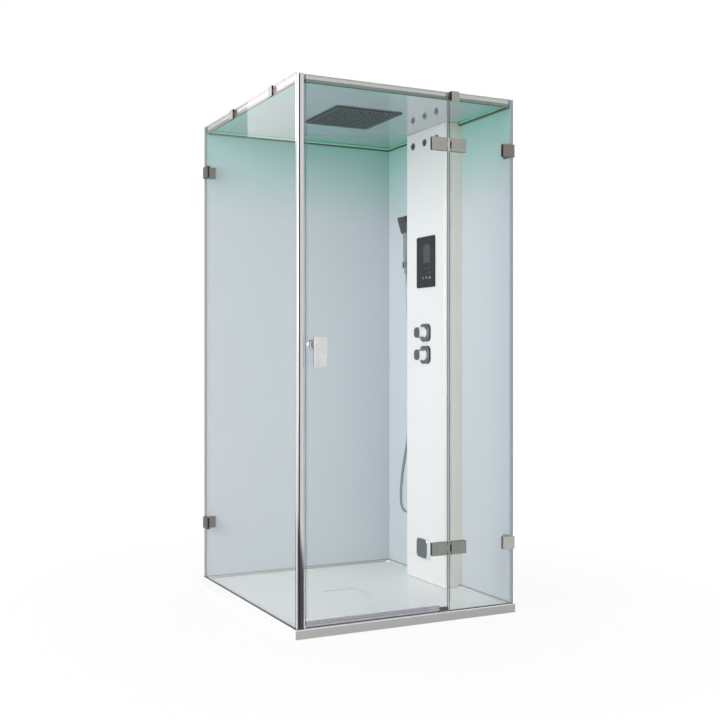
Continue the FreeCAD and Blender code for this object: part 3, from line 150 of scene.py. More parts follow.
def ramp(tree, value, start, end, low=0.0, high=1.0, kind="LINEAR"):
    """Output socket that runs from low to high while the value runs from start to end."""
    return add(tree, "ShaderNodeMapRange", {"interpolation_type": kind},
               {"From Min": start, "From Max": end, "To Min": low, "To Max": high}, Value=value).outputs[0]


def spread(tree, value, low, high):
    """Output socket of a value between 0 and 1, stretched to run from low to high."""
    return ramp(tree, value, 0.0, 1.0, low, high)


def noise(tree, place, size, detail=2.0):
    """Output socket of noise whose patches are about size metres across."""
    return add(tree, "ShaderNodeTexNoise", values={"Scale": 1 / size, "Detail": detail},
               Vector=place.outputs["Object"]).outputs[0]


def stretched_noise(tree, place, scale, detail=2.0):
    """Output socket of noise with its own number of patches per metre along each axis."""
    mapping = add(tree, "ShaderNodeMapping", values={"Scale": scale}, Vector=place.outputs["Object"])
    return add(tree, "ShaderNodeTexNoise", values={"Scale": 1.0, "Detail": detail},
               Vector=mapping.outputs[0]).outputs[0]


def relief(tree, height, strength, depth):
    """Output socket of the surface normal, bumped by a height."""
    return add(tree, "ShaderNodeBump", values={"Strength": strength, "Distance": depth},
               Height=height).outputs[0]


def new_piece(name, points, faces, material, body, slot, smooth=True):
    """Puts arrays of points and faces into a mesh object, with its material and body; slot is not used."""
    mesh = bpy.data.meshes.new(name)
    mesh.from_pydata(np.asarray(points, float), [], [tuple(map(int, face)) for face in faces])
    mesh.validate()
    mesh.polygons.foreach_set("use_smooth", [smooth] * len(mesh.polygons))
    mesh.update()
    piece = bpy.data.objects.new(name, mesh)
    bpy.context.scene.collection.objects.link(piece)
    mesh.materials.append(material)
    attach(piece, body)
    return piece


def grid_faces(rows, columns):
    """Quads of a grid of rows by columns points, closed round the columns."""
    i = np.arange(rows - 1)[:, None]
    j = np.arange(columns)[None, :]
    k = (j + 1) % columns
    near, far = i * columns, (i + 1) * columns
    quads = np.stack([near + j, near + k, far + k, far + j], axis=-1)
    return quads.reshape(-1, 4)


def basis(axis):
    """Two unit vectors square to an axis, with the axis itself: columns of a turning matrix."""
    axis = np.asarray(axis, float) / np.linalg.norm(axis)
    side = np.cross(axis, (0, 0, 1.0) if abs(axis[2]) < 0.9 else (1.0, 0, 0))
    side = side / np.linalg.norm(side)
    return np.stack([side, np.cross(axis, side), axis], axis=1)


def lathe(profile, centres, axis, around):
    """Turned surfaces: each profile point (r, h) sweeps (r cos t, r sin t, h), with h along the axis."""
    profile = np.asarray(profile, float)
    t = np.arange(around) * 2 * np.pi / around
    r, h = profile[:, :1], profile[:, 1:]
    ring = np.stack([r * np.cos(t), r * np.sin(t), h + 0 * t], axis=-1).reshape(-1, 3) @ basis(axis).T
    faces = grid_faces(len(profile), around)
    centres = np.atleast_2d(np.asarray(centres, float))
    points = (centres[:, None, :] + ring[None]).reshape(-1, 3)
    steps = np.arange(len(centres)) * len(ring)
    return points, (faces[None] + steps[:, None, None]).reshape(-1, 4)


def joined(*groups):
    """Stacks several (points, faces) pairs into one."""
    points, faces, start = [], [], 0
    for some_points, some_faces in groups:
        points.append(np.asarray(some_points, float))
        faces += [tuple(int(i) + start for i in face) for face in some_faces]
        start += len(some_points)
    return np.vstack(points), faces


def slab(outline, height, origin, u, v):
    """Flat badge: the outline (a, b) lies at origin + a u + b v and is raised by height along u x v."""
    outline = np.asarray(outline, float)
    u, v, origin = np.asarray(u, float), np.asarray(v, float), np.asarray(origin, float)
    low = origin + outline[:, :1] * u + outline[:, 1:] * v
    high = low + np.cross(u, v) * height
    n = len(outline)
    sides = [(i, (i + 1) % n, n + (i + 1) % n, n + i) for i in range(n)]
    return np.vstack([low, high]), sides + [tuple(range(n - 1, -1, -1)), tuple(range(n, 2 * n))]


def arc_outline(radius, count, start, sweep):
    """Points of an arc: (r cos t, r sin t)."""
    t = start + sweep * np.arange(count) / (count - 1)
    return np.stack([radius * np.cos(t), radius * np.sin(t)], axis=1)


def band(outer, inner, height, origin, u, v):
    """Closed band between two outlines of equal count, raised by height."""
    n = len(outer)
    ring = [slab([outer[i], outer[(i + 1) % n], inner[(i + 1) % n], inner[i]], height, origin, u, v)
            for i in range(n)]
    return joined(*ring)


def rounded_outline(width, height, radius, corner=8):
    """Rectangle with round corners: four quarter circles about the corner centres."""
    t = np.linspace(0, np.pi / 2, corner)
    quarters = []
    for k, (a, b) in enumerate(((1, 1), (-1, 1), (-1, -1), (1, -1))):
        turn = t + k * np.pi / 2
        quarters.append(np.stack([a * (width / 2 - radius) + radius * np.cos(turn),
                                  b * (height / 2 - radius) + radius * np.sin(turn)], axis=1))
    return np.vstack(quarters)


def node_box(name):
    """Lowest and highest corner of a CAD node, as arrays."""
    low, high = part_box(name)
    return np.array(low[:]), np.array(high[:])


# ---------------------------------------------------------------- settings

class ShowerFinishes(bpy.types.PropertyGroup):
    # The two panels are one enamel: their different colours are painted light and shade.
    back_wall: bpy.props.StringProperty(
        name="Back wall colour", description="Enamel of the back panel, sRGB hex", default="#CBD2D8")
    right_wall: bpy.props.StringProperty(
        name="Right wall colour", description="Enamel of the right panel, sRGB hex", default="#C2C8CE")
    glow_colour: bpy.props.StringProperty(
        name="Glow colour", description="Light strips round the ceiling, sRGB hex", default="#3E9C80")
    glow_strength: bpy.props.FloatProperty(
        name="Glow strength", description="Strength of the light strips", default=1.4, min=0.0, max=60.0)
    # Depth of the painted green light down the walls.
    glow_depth: bpy.props.FloatProperty(
        name="Glow depth", description="How far the glow shows down the walls", default=0.38, unit="LENGTH")
    column_colour: bpy.props.StringProperty(
        name="Column colour", description="Gloss acrylic of the column, sRGB hex", default="#E6E4E4")
    tray_colour: bpy.props.StringProperty(
        name="Tray colour", description="Mineral resin of the tray, sRGB hex", default="#F1F1EF")


class ShowerSizes(bpy.types.PropertyGroup):
    nozzle_radius: bpy.props.FloatProperty(
        name="Nozzle radius", description="Rubber nozzles of the rain head", default=2.6 * MM, unit="LENGTH")
    spray_rows: bpy.props.IntProperty(
        name="Spray rows", description="Rows of nozzles on the hand shower", default=6, min=2, max=12)
    screw_radius: bpy.props.FloatProperty(
        name="Screw head radius", description="Domed screws of hinges and clips", default=5.0 * MM,
        unit="LENGTH")
    hose_radius: bpy.props.FloatProperty(
        name="Hose radius", description="Metal shower hose", default=6.0 * MM, unit="LENGTH")


# ---------------------------------------------------------------- materials

LOW_TONE_HEIGHT = 0.35    # steel below this height, in metres, has its low colour, a painted reflection of the floor
HIGH_TONE_HEIGHT = 1.7        # and above this one its upper colour
LEFT_CORNER_X = -0.3    # plates left of this are the back left corner's and take its painted shade colour
RAIL_LEG = 11 * MM      # height of the roof rail's outer leg
GLASS_BAND = 9 * MM     # width of the painted band that shows the ground edge through a pane
SWEEP_LIP = 5 * MM      # height of the drip seal's firm lip
SCRATCH_RATIO = 60      # a brushed scratch is this many times as long as it is wide
FACING = 0.9            # from this share of its normal on, a face counts as looking along an axis
SCREW_SIDES = 12
NOZZLE_SIDES = 10


def brushed_steel(name, colour, roughness, grain_axis, grain_mm=0.6, low_reflection_colour=None, left_shade_colour=None):
    """Stainless steel, belt brushed: long fine scratches break the reflection along one axis.

    The tone wanders slowly over the sheet; towards the floor it runs to the low colour given, a painted
    reflection of the floor, and plates on the back left corner take the left colour given, painted shade.
    """
    material, tree, output, place = blank(name)
    stretch = [1 / (grain_mm * MM)] * 3
    stretch[grain_axis] /= SCRATCH_RATIO
    grain = stretched_noise(tree, place, stretch, 3.0)
    rough = spread(tree, grain, roughness - 0.08, roughness + 0.08)
    bump = relief(tree, grain, 0.08, 0.02 * MM)
    at = add(tree, "ShaderNodeSeparateXYZ", Vector=place.outputs["Object"])
    # Towards the floor the steel runs to its low colour, a painted reflection of the floor.
    height = ramp(tree, at.outputs["Z"], LOW_TONE_HEIGHT, HIGH_TONE_HEIGHT)
    tone = mix_colour(tree, height, low_reflection_colour or colour, colour)
    # Plates on the back left corner take a painted shade colour.
    if left_shade_colour:
        left = calc(tree, "LESS_THAN", at.outputs["X"], LEFT_CORNER_X)
        tone = mix_colour(tree, left, tone, left_shade_colour)
    drift = noise(tree, place, 55 * MM, 1.0)
    level = ramp(tree, drift, 0.3, 0.7, 0.93, 1.05)
    drift_and_painted_shade = add(tree, "ShaderNodeVectorMath", {"operation": "SCALE"}, n0=tone, Scale=level)
    steel = add(tree, "ShaderNodeBsdfPrincipled", values={"Metallic": 1.0},
                Base_Color=drift_and_painted_shade.outputs[0], Roughness=rough, Normal=bump)
    tree.links.new(steel.outputs[0], output.inputs[0])
    return material


def folded_clip_steel():
    """Stainless strip, sawn and folded over the glass: brushed faces, and end faces painted dark as shade."""
    material, tree, output, place = blank("folded_clip_steel")
    way = add(tree, "ShaderNodeSeparateXYZ", Vector=place.outputs["Normal"])
    at = add(tree, "ShaderNodeSeparateXYZ", Vector=place.outputs["Object"])
    along_x = calc(tree, "ABSOLUTE", way.outputs["X"])
    along_y = calc(tree, "ABSOLUTE", way.outputs["Y"])
    on_left = calc(tree, "LESS_THAN", at.outputs["X"], 0.0)
    end = add(tree, "ShaderNodeMix", n0=on_left, n2=along_x, n3=along_y)
    # Faces across a clip's ends are painted dark as shade.
    end_share = 0.8
    dark_end_shade = calc(tree, "GREATER_THAN", end.outputs[0], end_share)
    tone = mix_colour(tree, dark_end_shade, "#9A9997", "#232325")
    grain = noise(tree, place, 0.6 * MM)
    rough = spread(tree, grain, 0.22, 0.38)
    steel = add(tree, "ShaderNodeBsdfPrincipled", values={"Metallic": 1.0},
                Base_Color=tone, Roughness=rough)
    tree.links.new(steel.outputs[0], output.inputs[0])
    return material


def chrome_plate(name, colour="#D9DBDD", roughness=0.06):
    """Polished chrome, nickel or anodised skin: a clean mirror with faint waves from the buffing wheel."""
    material, tree, output, place = blank(name)
    wave = noise(tree, place, 22 * MM, 1.0)
    rough = spread(tree, wave, roughness, roughness + 0.05)
    bump = relief(tree, wave, 0.05, 0.1 * MM)
    chrome = add(tree, "ShaderNodeBsdfPrincipled", values={"Base Color": linear(colour), "Metallic": 1.0},
                 Roughness=rough, Normal=bump)
    tree.links.new(chrome.outputs[0], output.inputs[0])
    return material


def rail_aluminium():
    """Drawn aluminium, bright anodised: a pale top, and a leg painted dark and streaked along its drawing
    lines as shade under the roof.
    """
    material, tree, output, place = blank("bright_anodised_aluminium")
    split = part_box("roof_rails")[0][2] + RAIL_LEG
    at = add(tree, "ShaderNodeSeparateXYZ", Vector=place.outputs["Object"])
    leg = ramp(tree, at.outputs["Z"], split - 0.6 * MM, split + 0.6 * MM)
    drawn = stretched_noise(tree, place, (3, 3, 1 / (2.2 * MM)))
    # The outer leg's dark streaked tone is painted shade under the roof.
    low = mix_colour(tree, drawn, "#50544F", "#98A39E")
    tone = mix_colour(tree, leg, low, "#C0BFBA")
    rough = spread(tree, drawn, 0.12, 0.24)
    rail = add(tree, "ShaderNodeBsdfPrincipled", values={"Metallic": 1.0},
               Base_Color=tone, Roughness=rough)
    tree.links.new(rail.outputs[0], output.inputs[0])
    return material


def post_aluminium():
    """Drawn aluminium, polished: a pale front, painted shade in its groove, and a painted dark reflection low
    down.
    """
    material, tree, output, place = blank("polished_aluminium_post")
    low = node_box("corner_post")[0]
    groove_x, half_width = low[0] + 5.5 * MM, 3.1 * MM
    groove_y, half_depth = low[1] + 1.9 * MM, 1.4 * MM
    rise = 7.0    # how steeply the upper edge of the painted dark reflection falls across the post
    at = add(tree, "ShaderNodeSeparateXYZ", Vector=place.outputs["Object"])
    # The dark line in the groove is painted shade.
    in_width = calc(tree, "COMPARE", at.outputs["X"], groove_x, half_width)
    in_depth = calc(tree, "COMPARE", at.outputs["Y"], groove_y, half_depth)
    groove = calc(tree, "MULTIPLY", in_width, in_depth)
    slant = calc(tree, "MULTIPLY_ADD", at.outputs["X"], rise, -rise * low[0])
    level = calc(tree, "ADD", at.outputs["Z"], slant)
    # Low on the post, below a slanting edge, a painted dark reflection.
    dull = ramp(tree, level, 0.37, 0.52, 1.0, 0.0, kind="SMOOTHSTEP")
    tone = mix_colour(tree, dull, "#C9C8CB", "#4C494F")
    groove_painted_shade = mix_colour(tree, groove, tone, "#4B4A4E")
    drawn = stretched_noise(tree, place, (900, 900, 2))
    rough = spread(tree, drawn, 0.07, 0.16)
    bar = add(tree, "ShaderNodeBsdfPrincipled", values={"Metallic": 1.0},
              Base_Color=groove_painted_shade, Roughness=rough)
    tree.links.new(bar.outputs[0], output.inputs[0])
    return material


def faced_chrome(name, face_colour, side_colour="#EEF0F0"):
    """Chromed zinc casting, satin blasted on the face towards the room; the grey of that face and the tone of
    the sides are painted reflection.
    """
    material, tree, output, place = blank(name)
    way = add(tree, "ShaderNodeSeparateXYZ", Vector=place.outputs["Normal"])
    front = ramp(tree, way.outputs["X"], -0.96, -0.8, 1.0, 0.0)
    blast = noise(tree, place, 0.7 * MM)
    # Face and side colours are painted reflection.
    tone = mix_colour(tree, front, side_colour, face_colour)
    dull = spread(tree, front, 0.1, 0.3)
    bump = relief(tree, blast, 0.06, 0.03 * MM)
    zinc = add(tree, "ShaderNodeBsdfPrincipled", values={"Metallic": 1.0},
               Base_Color=tone, Roughness=dull, Normal=bump)
    tree.links.new(zinc.outputs[0], output.inputs[0])
    return material


def toughened_glass(name, front_edge, side_edge, axis, band_middle, band_colour, band_share):
    """Clear toughened float glass: faintly cool, sharp reflections, and ground edges whose tones by facing
    are painted light and shade.

    A band of the face, round band_middle along axis, is painted in band_colour as a reflection of the ground
    edge seen through the glass.
    """
    material, tree, output, place = blank(name)
    side = add(tree, "ShaderNodeSeparateXYZ", Vector=place.outputs["Normal"])
    tall = calc(tree, "ABSOLUTE", side.outputs["Z"])
    width = add(tree, "ShaderNodeAttribute", {"attribute_name": "edge_face"})
    edge = calc(tree, "MAXIMUM", tall, width.outputs["Fac"])
    clear = add(tree, "ShaderNodeBsdfTransparent", values={"Color": linear("#FCFDFD")})
    mirror = add(tree, "ShaderNodeBsdfPrincipled",
                 values={"Base Color": linear("#FFFFFF"), "Metallic": 1.0, "Roughness": 0.02})
    sheen = add(tree, "ShaderNodeFresnel", values={"IOR": 1.35})
    facing = add(tree, "ShaderNodeNewGeometry")
    outer = calc(tree, "SUBTRACT", 1.0, facing.outputs["Backfacing"])
    share = calc(tree, "MULTIPLY", sheen.outputs[0], outer)
    pane = add(tree, "ShaderNodeMixShader", n0=share, n1=clear.outputs[0], n2=mirror.outputs[0])
    ground = noise(tree, place, 3 * MM)
    rough = spread(tree, ground, 0.18, 0.34)
    # The edge faces' tones by facing, pale on top and bottom, are painted light and shade.
    to_front = calc(tree, "LESS_THAN", side.outputs["Y"], -0.5)
    upright = mix_colour(tree, to_front, side_edge, front_edge)
    tone = mix_colour(tree, tall, upright, "#C9D2D0")
    rim = add(tree, "ShaderNodeBsdfPrincipled", Base_Color=tone, Roughness=rough)
    # The band is a painted reflection of the ground edge seen through the glass.
    at = add(tree, "ShaderNodeSeparateXYZ", Vector=place.outputs["Object"])
    inside = calc(tree, "COMPARE", at.outputs[axis], band_middle, GLASS_BAND / 2)
    band = calc(tree, "MULTIPLY", inside, band_share)
    arris = add(tree, "ShaderNodeBsdfPrincipled",
                values={"Base Color": linear(band_colour), "Roughness": 0.3})
    face = add(tree, "ShaderNodeMixShader", n0=band, n1=pane.outputs[0], n2=arris.outputs[0])
    both = add(tree, "ShaderNodeMixShader", n0=edge, n1=face.outputs[0], n2=rim.outputs[0])
    tree.links.new(both.outputs[0], output.inputs[0])
    return material


def coated_wall(name, finish, low, high):
    """Float glass enamelled on its back: pale grey-blue with a soft sheen, with painted green light from the
    strips near the roof.
    """
    material, tree, output, place = blank(name)
    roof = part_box("ceiling_panel")[0][2]
    at = add(tree, "ShaderNodeSeparateXYZ", Vector=place.outputs["Object"])
    # The green towards the roof is painted light from the strips.
    near = ramp(tree, at.outputs["Z"], roof - finish.glow_depth, roof)
    tint = mix_colour(tree, near, low, high)
    speck = noise(tree, place, 40 * MM)
    rough = spread(tree, speck, 0.38, 0.5)
    width = add(tree, "ShaderNodeAttribute", {"attribute_name": "edge_face"})
    skin = mix_colour(tree, width.outputs["Fac"], tint, "#6B6878")
    enamel = add(tree, "ShaderNodeBsdfPrincipled", values={"Specular IOR Level": 0.15, "IOR": 1.5},
                 Base_Color=skin, Roughness=rough)
    tree.links.new(enamel.outputs[0], output.inputs[0])
    return material


def flat_gloss(name, colour, roughness):
    """Touch glass enamelled on its back: dead flat, with a shine that wipe marks dull in slow patches."""
    material, tree, output, place = blank(name)
    wave = noise(tree, place, 90 * MM, 1.0)
    rough = spread(tree, wave, roughness, roughness + 0.06)
    sheet = add(tree, "ShaderNodeBsdfPrincipled", Roughness=rough,
                values={"Base Color": linear(colour), "IOR": 1.49, "Specular IOR Level": 0.32,
                        "Coat Weight": 0.06, "Coat Roughness": 0.05})
    tree.links.new(sheet.outputs[0], output.inputs[0])
    return material


def column_acrylic(finish):
    """White cast acrylic sheet, folded: high gloss, with the faces turned along Y painted greyer as shade."""
    material, tree, output, place = blank("white_cast_acrylic")
    way = add(tree, "ShaderNodeSeparateXYZ", Vector=place.outputs["Normal"])
    turned = calc(tree, "ABSOLUTE", way.outputs["Y"])
    # Faces turned along Y are painted greyer as shade.
    side = ramp(tree, turned, 0.05, 0.6)
    tone = mix_colour(tree, side, finish.column_colour, "#DDDBD2")
    wave = noise(tree, place, 60 * MM, 1.0)
    rough = spread(tree, wave, 0.12, 0.18)
    bump = relief(tree, wave, 0.03, 1.0 * MM)
    sheet = add(tree, "ShaderNodeBsdfPrincipled", Base_Color=tone, Roughness=rough, Normal=bump,
                values={"IOR": 1.49, "Coat Weight": 0.25, "Coat Roughness": 0.05})
    tree.links.new(sheet.outputs[0], output.inputs[0])
    return material


def edge_lit_ceiling():
    """Gloss acrylic sheet, mirror-like: grey-blue, with painted green light from the strips along its edges.
    """
    material, tree, output, place = blank("edge_lit_ceiling_acrylic")
    low, high = node_box("ceiling_panel")
    middle, half = (low + high) / 2, (high - low) / 2
    reach = 100 * MM
    shift = add(tree, "ShaderNodeVectorMath", {"operation": "SUBTRACT"}, values={1: middle},
                n0=place.outputs["Object"])
    size = add(tree, "ShaderNodeVectorMath", {"operation": "ABSOLUTE"}, n0=shift.outputs[0])
    axes = add(tree, "ShaderNodeSeparateXYZ", Vector=size.outputs[0])
    near_x, near_y = (ramp(tree, axes.outputs[name], half[axis] - reach, half[axis], kind="SMOOTHSTEP")
                      for axis, name in enumerate("XY"))
    near = calc(tree, "MAXIMUM", near_x, near_y)
    # The green towards the edges is painted light from the strips.
    tone = mix_colour(tree, near, "#9EAAAF", "#74BFA4")
    wave = noise(tree, place, 90 * MM)
    rough = spread(tree, wave, 0.03, 0.07)
    sheet = add(tree, "ShaderNodeBsdfPrincipled", Base_Color=tone, Roughness=rough,
                values={"IOR": 1.49, "Coat Weight": 1.0, "Coat IOR": 1.6, "Coat Roughness": 0.02})
    tree.links.new(sheet.outputs[0], output.inputs[0])
    return material


def moulded_plastic(name, colour, roughness=0.4, grain_mm=0.8, grain=0.15):
    """Moulded plastic, rubber or cast skin with a fine grain: soft broken highlights."""
    material, tree, output, place = blank(name)
    texture = noise(tree, place, grain_mm * MM)
    rough = spread(tree, texture, roughness - 0.06, roughness + 0.08)
    bump = relief(tree, texture, grain, 0.05 * MM)
    skin = add(tree, "ShaderNodeBsdfPrincipled",
               values={"Base Color": linear(colour)}, Roughness=rough, Normal=bump)
    tree.links.new(skin.outputs[0], output.inputs[0])
    return material


def mineral_resin(finish):
    """Cast mineral resin with a gel coat: near white, silky, finely mottled; the rim top, the front apron and
    the faces turned to -X are painted darker as shade.
    """
    material, tree, output, place = blank("cast_mineral_resin")
    mottle = noise(tree, place, 9 * MM, 4.0)
    tone = mix_colour(tree, mottle, finish.tray_colour, "#E9EAE8")
    at = add(tree, "ShaderNodeSeparateXYZ", Vector=place.outputs["Object"])
    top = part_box("tray")[1][2]
    # The darker rim top is painted shade.
    rim = ramp(tree, at.outputs["Z"], top - 2 * MM, top - 1 * MM)
    shell = mix_colour(tree, rim, tone, "#E0E2E2")
    face = add(tree, "ShaderNodeSeparateXYZ", Vector=place.outputs["Normal"])
    # The grey front apron is painted shade.
    front = calc(tree, "LESS_THAN", face.outputs["Y"], -FACING)
    apron = mix_colour(tree, front, shell, "#B2B3B2")
    # Faces turned to -X are painted darker as shade.
    left = calc(tree, "LESS_THAN", face.outputs["X"], -FACING)
    across = ramp(tree, at.outputs["X"], -0.4, 0.4)
    step = mix_colour(tree, across, "#D9D9DA", "#C6C8C7")
    skin = mix_colour(tree, left, apron, step)
    rough = spread(tree, mottle, 0.24, 0.34)
    bump = relief(tree, mottle, 0.05, 0.2 * MM)
    resin = add(tree, "ShaderNodeBsdfPrincipled", values={"IOR": 1.5},
                Base_Color=skin, Roughness=rough, Normal=bump)
    tree.links.new(resin.outputs[0], output.inputs[0])
    return material


def clear_vinyl(name, colour, clearness, streaks=(160, 160, 8), hem_top=-1.0):
    """Soft clear PVC extrusion: milky, slightly violet, with a wet shine and draw lines along its length.

    Below hem_top, a height in metres, it is a firmer grey-violet lip.
    """
    material, tree, output, place = blank(name)
    streak = stretched_noise(tree, place, streaks)
    rough = spread(tree, streak, 0.15, 0.3)
    at = add(tree, "ShaderNodeSeparateXYZ", Vector=place.outputs["Object"])
    lip = calc(tree, "LESS_THAN", at.outputs["Z"], hem_top)
    tone = mix_colour(tree, lip, colour, "#56515F")
    body = add(tree, "ShaderNodeBsdfPrincipled", Base_Color=tone, Roughness=rough)
    clear = add(tree, "ShaderNodeBsdfTransparent", values={"Color": linear("#FBFBFC")})
    open_share = ramp(tree, streak, 0.35, 0.65, clearness - 0.05, clearness + 0.05)
    firm = calc(tree, "MULTIPLY_ADD", lip, -0.9, 1.0)
    share = calc(tree, "MULTIPLY", open_share, firm)
    mix = add(tree, "ShaderNodeMixShader", n0=share, n1=body.outputs[0], n2=clear.outputs[0])
    tree.links.new(mix.outputs[0], output.inputs[0])
    return material


def lit_diffuser(finish):
    """Opal polycarbonate over a row of diodes: an even green glow with a soft skin."""
    material, tree, output, place = blank("lit_opal_diffuser")
    dots = noise(tree, place, 16 * MM)
    rough = spread(tree, dots, 0.3, 0.5)
    opal = add(tree, "ShaderNodeBsdfPrincipled",
               values={"Base Color": linear("#BFE9D8"), "Emission Color": linear(finish.glow_colour),
                       "Emission Strength": finish.glow_strength}, Roughness=rough)
    tree.links.new(opal.outputs[0], output.inputs[0])
    return material


def spiral_steel():
    """Interlocked steel strip wound into a hose, plated: rings of light along its own length."""
    material, tree, output, place = blank("wound_steel_hose")
    pitch = 2.2 * MM
    at = add(tree, "ShaderNodeSeparateXYZ", Vector=place.outputs["UV"])
    turns = calc(tree, "MULTIPLY", at.outputs["X"], 2 * math.pi * HOSE_LENGTH / pitch)
    wave = calc(tree, "SINE", turns)
    bump = relief(tree, wave, 0.7, 0.5 * MM)
    strip = add(tree, "ShaderNodeBsdfPrincipled",
                values={"Base Color": linear("#A6ABAC"), "Metallic": 1.0, "Roughness": 0.22},
                Normal=bump)
    tree.links.new(strip.outputs[0], output.inputs[0])
    return material


def shower_materials(finish):
    """All finishes by the names that the operators use."""
    front_band = node_box("front_fixed_glass")[1][0] - GLASS_BAND / 2 - 4 * MM
    side_band = node_box("left_glass")[1][1] - GLASS_BAND / 2
    lip_top = node_box("door_sweep")[0][2] + SWEEP_LIP
    return {
        "resin": mineral_resin(finish),
        # The low and left colours of these steels are a painted reflection of the floor and painted shade.
        "satin_x": brushed_steel("brushed_stainless_plate", "#9B9B97", 0.30, 0, low_reflection_colour="#898B85"),
        "clip": folded_clip_steel(),
        "satin_z": brushed_steel("brushed_stainless_upright", "#CACACA", 0.24, 2),
        "clamp": brushed_steel("brushed_stainless_clamp", "#7E7871", 0.30, 0, low_reflection_colour="#AFAFA9",
                               left_shade_colour="#55534F"),
        "rain_steel": brushed_steel("dark_brushed_steel", "#43474A", 0.34, 0, 0.9),
        "chrome": chrome_plate("polished_chrome"),
        "rail": rail_aluminium(),
        "post": post_aluminium(),
        "corner_angle": chrome_plate("anodised_corner_angle", "#C4C6C8", 0.16),
        "nickel_pipe": chrome_plate("nickel_plated_pipe", "#BDBBB6", 0.16),
        "front_glass": toughened_glass("clear_front_glass", "#5F6C6E", "#5F6C6E", "X", front_band,
                                       band_colour="#BCC6D6", band_share=0.55),
        "side_glass": toughened_glass("clear_side_glass", "#E6E9E9", "#5C6070", "Y", side_band,
                                      band_colour="#6A6478", band_share=0.75),
        # The walls share one enamel: their two colours differ as painted light and shade, and the green tints
        # near the roof are painted light.
        "back_wall": coated_wall("back_panel_enamelled_glass", finish, finish.back_wall, "#9BCDC6"),
        "right_wall": coated_wall("right_panel_enamelled_glass", finish, finish.right_wall, "#93C6BE"),
        "column": column_acrylic(finish),
        "ceiling": edge_lit_ceiling(),
        "panel_glass": flat_gloss("black_enamelled_glass", "#0F1112", 0.06),
        "knob": faced_chrome("satin_faced_zinc_knob", "#7E8283"),
        "escutcheon": faced_chrome("satin_faced_valve_plate", "#858988", "#3A3E40"),
        "outlet": faced_chrome("satin_faced_outlet_cover", "#8B9191"),
        "handset": moulded_plastic("grey_green_handset_shell", "#7C8584", 0.34, 0.6, 0.08),
        "dark": moulded_plastic("dark_moulded_abs", "#35383A", 0.36),
        "head": moulded_plastic("dark_handset_head", "#363A37", 0.34, 0.6, 0.08),
        "holder": moulded_plastic("dark_grey_holder", "#54585A", 0.34),
        "end_piece": moulded_plastic("dark_grey_end_piece", "#4A4A4E", 0.4),
        "brass": moulded_plastic("sand_cast_brass_skin", "#9C8350", 0.45, 1.2, 0.3),
        "rubber": moulded_plastic("dark_grey_silicone", "#5E615B", 0.55),
        "board": moulded_plastic("lacquered_circuit_board", "#1F5A38", 0.3),
        "vinyl": clear_vinyl("clear_vinyl_seal", "#C1C3C6", 0.965),
        "sweep": clear_vinyl("clear_vinyl_sweep", "#A9A6B2", 0.66, (8, 160, 300), hem_top=lip_top),
        "glow": lit_diffuser(finish),
        "hose": spiral_steel(),
        "nozzle": moulded_plastic("soft_silicone_nozzle", "#2A2C2D", 0.6, 0.5, 0.1),
        "screen": flat_gloss("display_window", "#3E4446", 0.1),
        "icon": moulded_plastic("printed_icon_enamel", "#6F7475", 0.4, 0.4, 0.02),
        "icon_bright": moulded_plastic("lit_icon_enamel", "#B4B9BA", 0.4, 0.4, 0.02),
    }


FINISH_OF_NODE = {
    "tray": "resin", "drain_cover": "resin", "drain_waste": "satin_x",
    "glass_seals": "rubber", "left_glass": "side_glass", "front_fixed_glass": "front_glass",
    "door_glass": "front_glass",
    "back_panel": "back_wall", "right_panel": "right_wall",
    "corner_post": "post", "post_caps": "post", "rear_corner_profile": "corner_angle",
    "corner_clamps": "clamp", "hinge_fixed_leaves": "satin_x", "hinge_fixed_clamps": "satin_x",
    "hinge_door_leaves": "satin_x", "hinge_door_clamps": "satin_x",
    "hinge_pins": "chrome", "hinge_bushes": "dark",
    "roof_rails": "rail", "roof_corner_keys": "dark", "roof_clips": "clip",
    "ceiling_panel": "ceiling", "light_strips": "glow",
    "rain_head_box": "satin_x", "rain_head_plate": "rain_steel", "rain_riser_pipe": "nickel_pipe",
    "column_shell": "column", "jet_bezels": "chrome", "jet_manifold": "nickel_pipe",
    "jet_ball_front": "dark", "jet_ball_middle": "dark", "jet_ball_rear": "dark",
    "control_case": "dark", "control_glass": "panel_glass", "control_board": "board",
    "mixer_body": "brass", "valve_cartridges": "dark", "valve_plates": "escutcheon", "inlet_sockets": "brass",
    "diverter_knob": "knob", "thermostat_knob": "knob", "safety_button": "dark",
    "steam_generator": "satin_x", "steam_pipe": "nickel_pipe", "steam_outlet_cover": "outlet",
    "handset_holder": "holder", "hose_elbow": "chrome", "hand_shower_head": "head",
    "hand_shower_handle": "handset", "hand_spray_plate": "nozzle",
    "handle_plate": "satin_z", "handle_knob": "chrome",
    "door_magnet_strip": "vinyl", "fixed_strips": "vinyl",
    "door_sweep": "sweep", "sweep_end_block": "end_piece",
}
MATERIALS = {}


# ---------------------------------------------------------------- operators

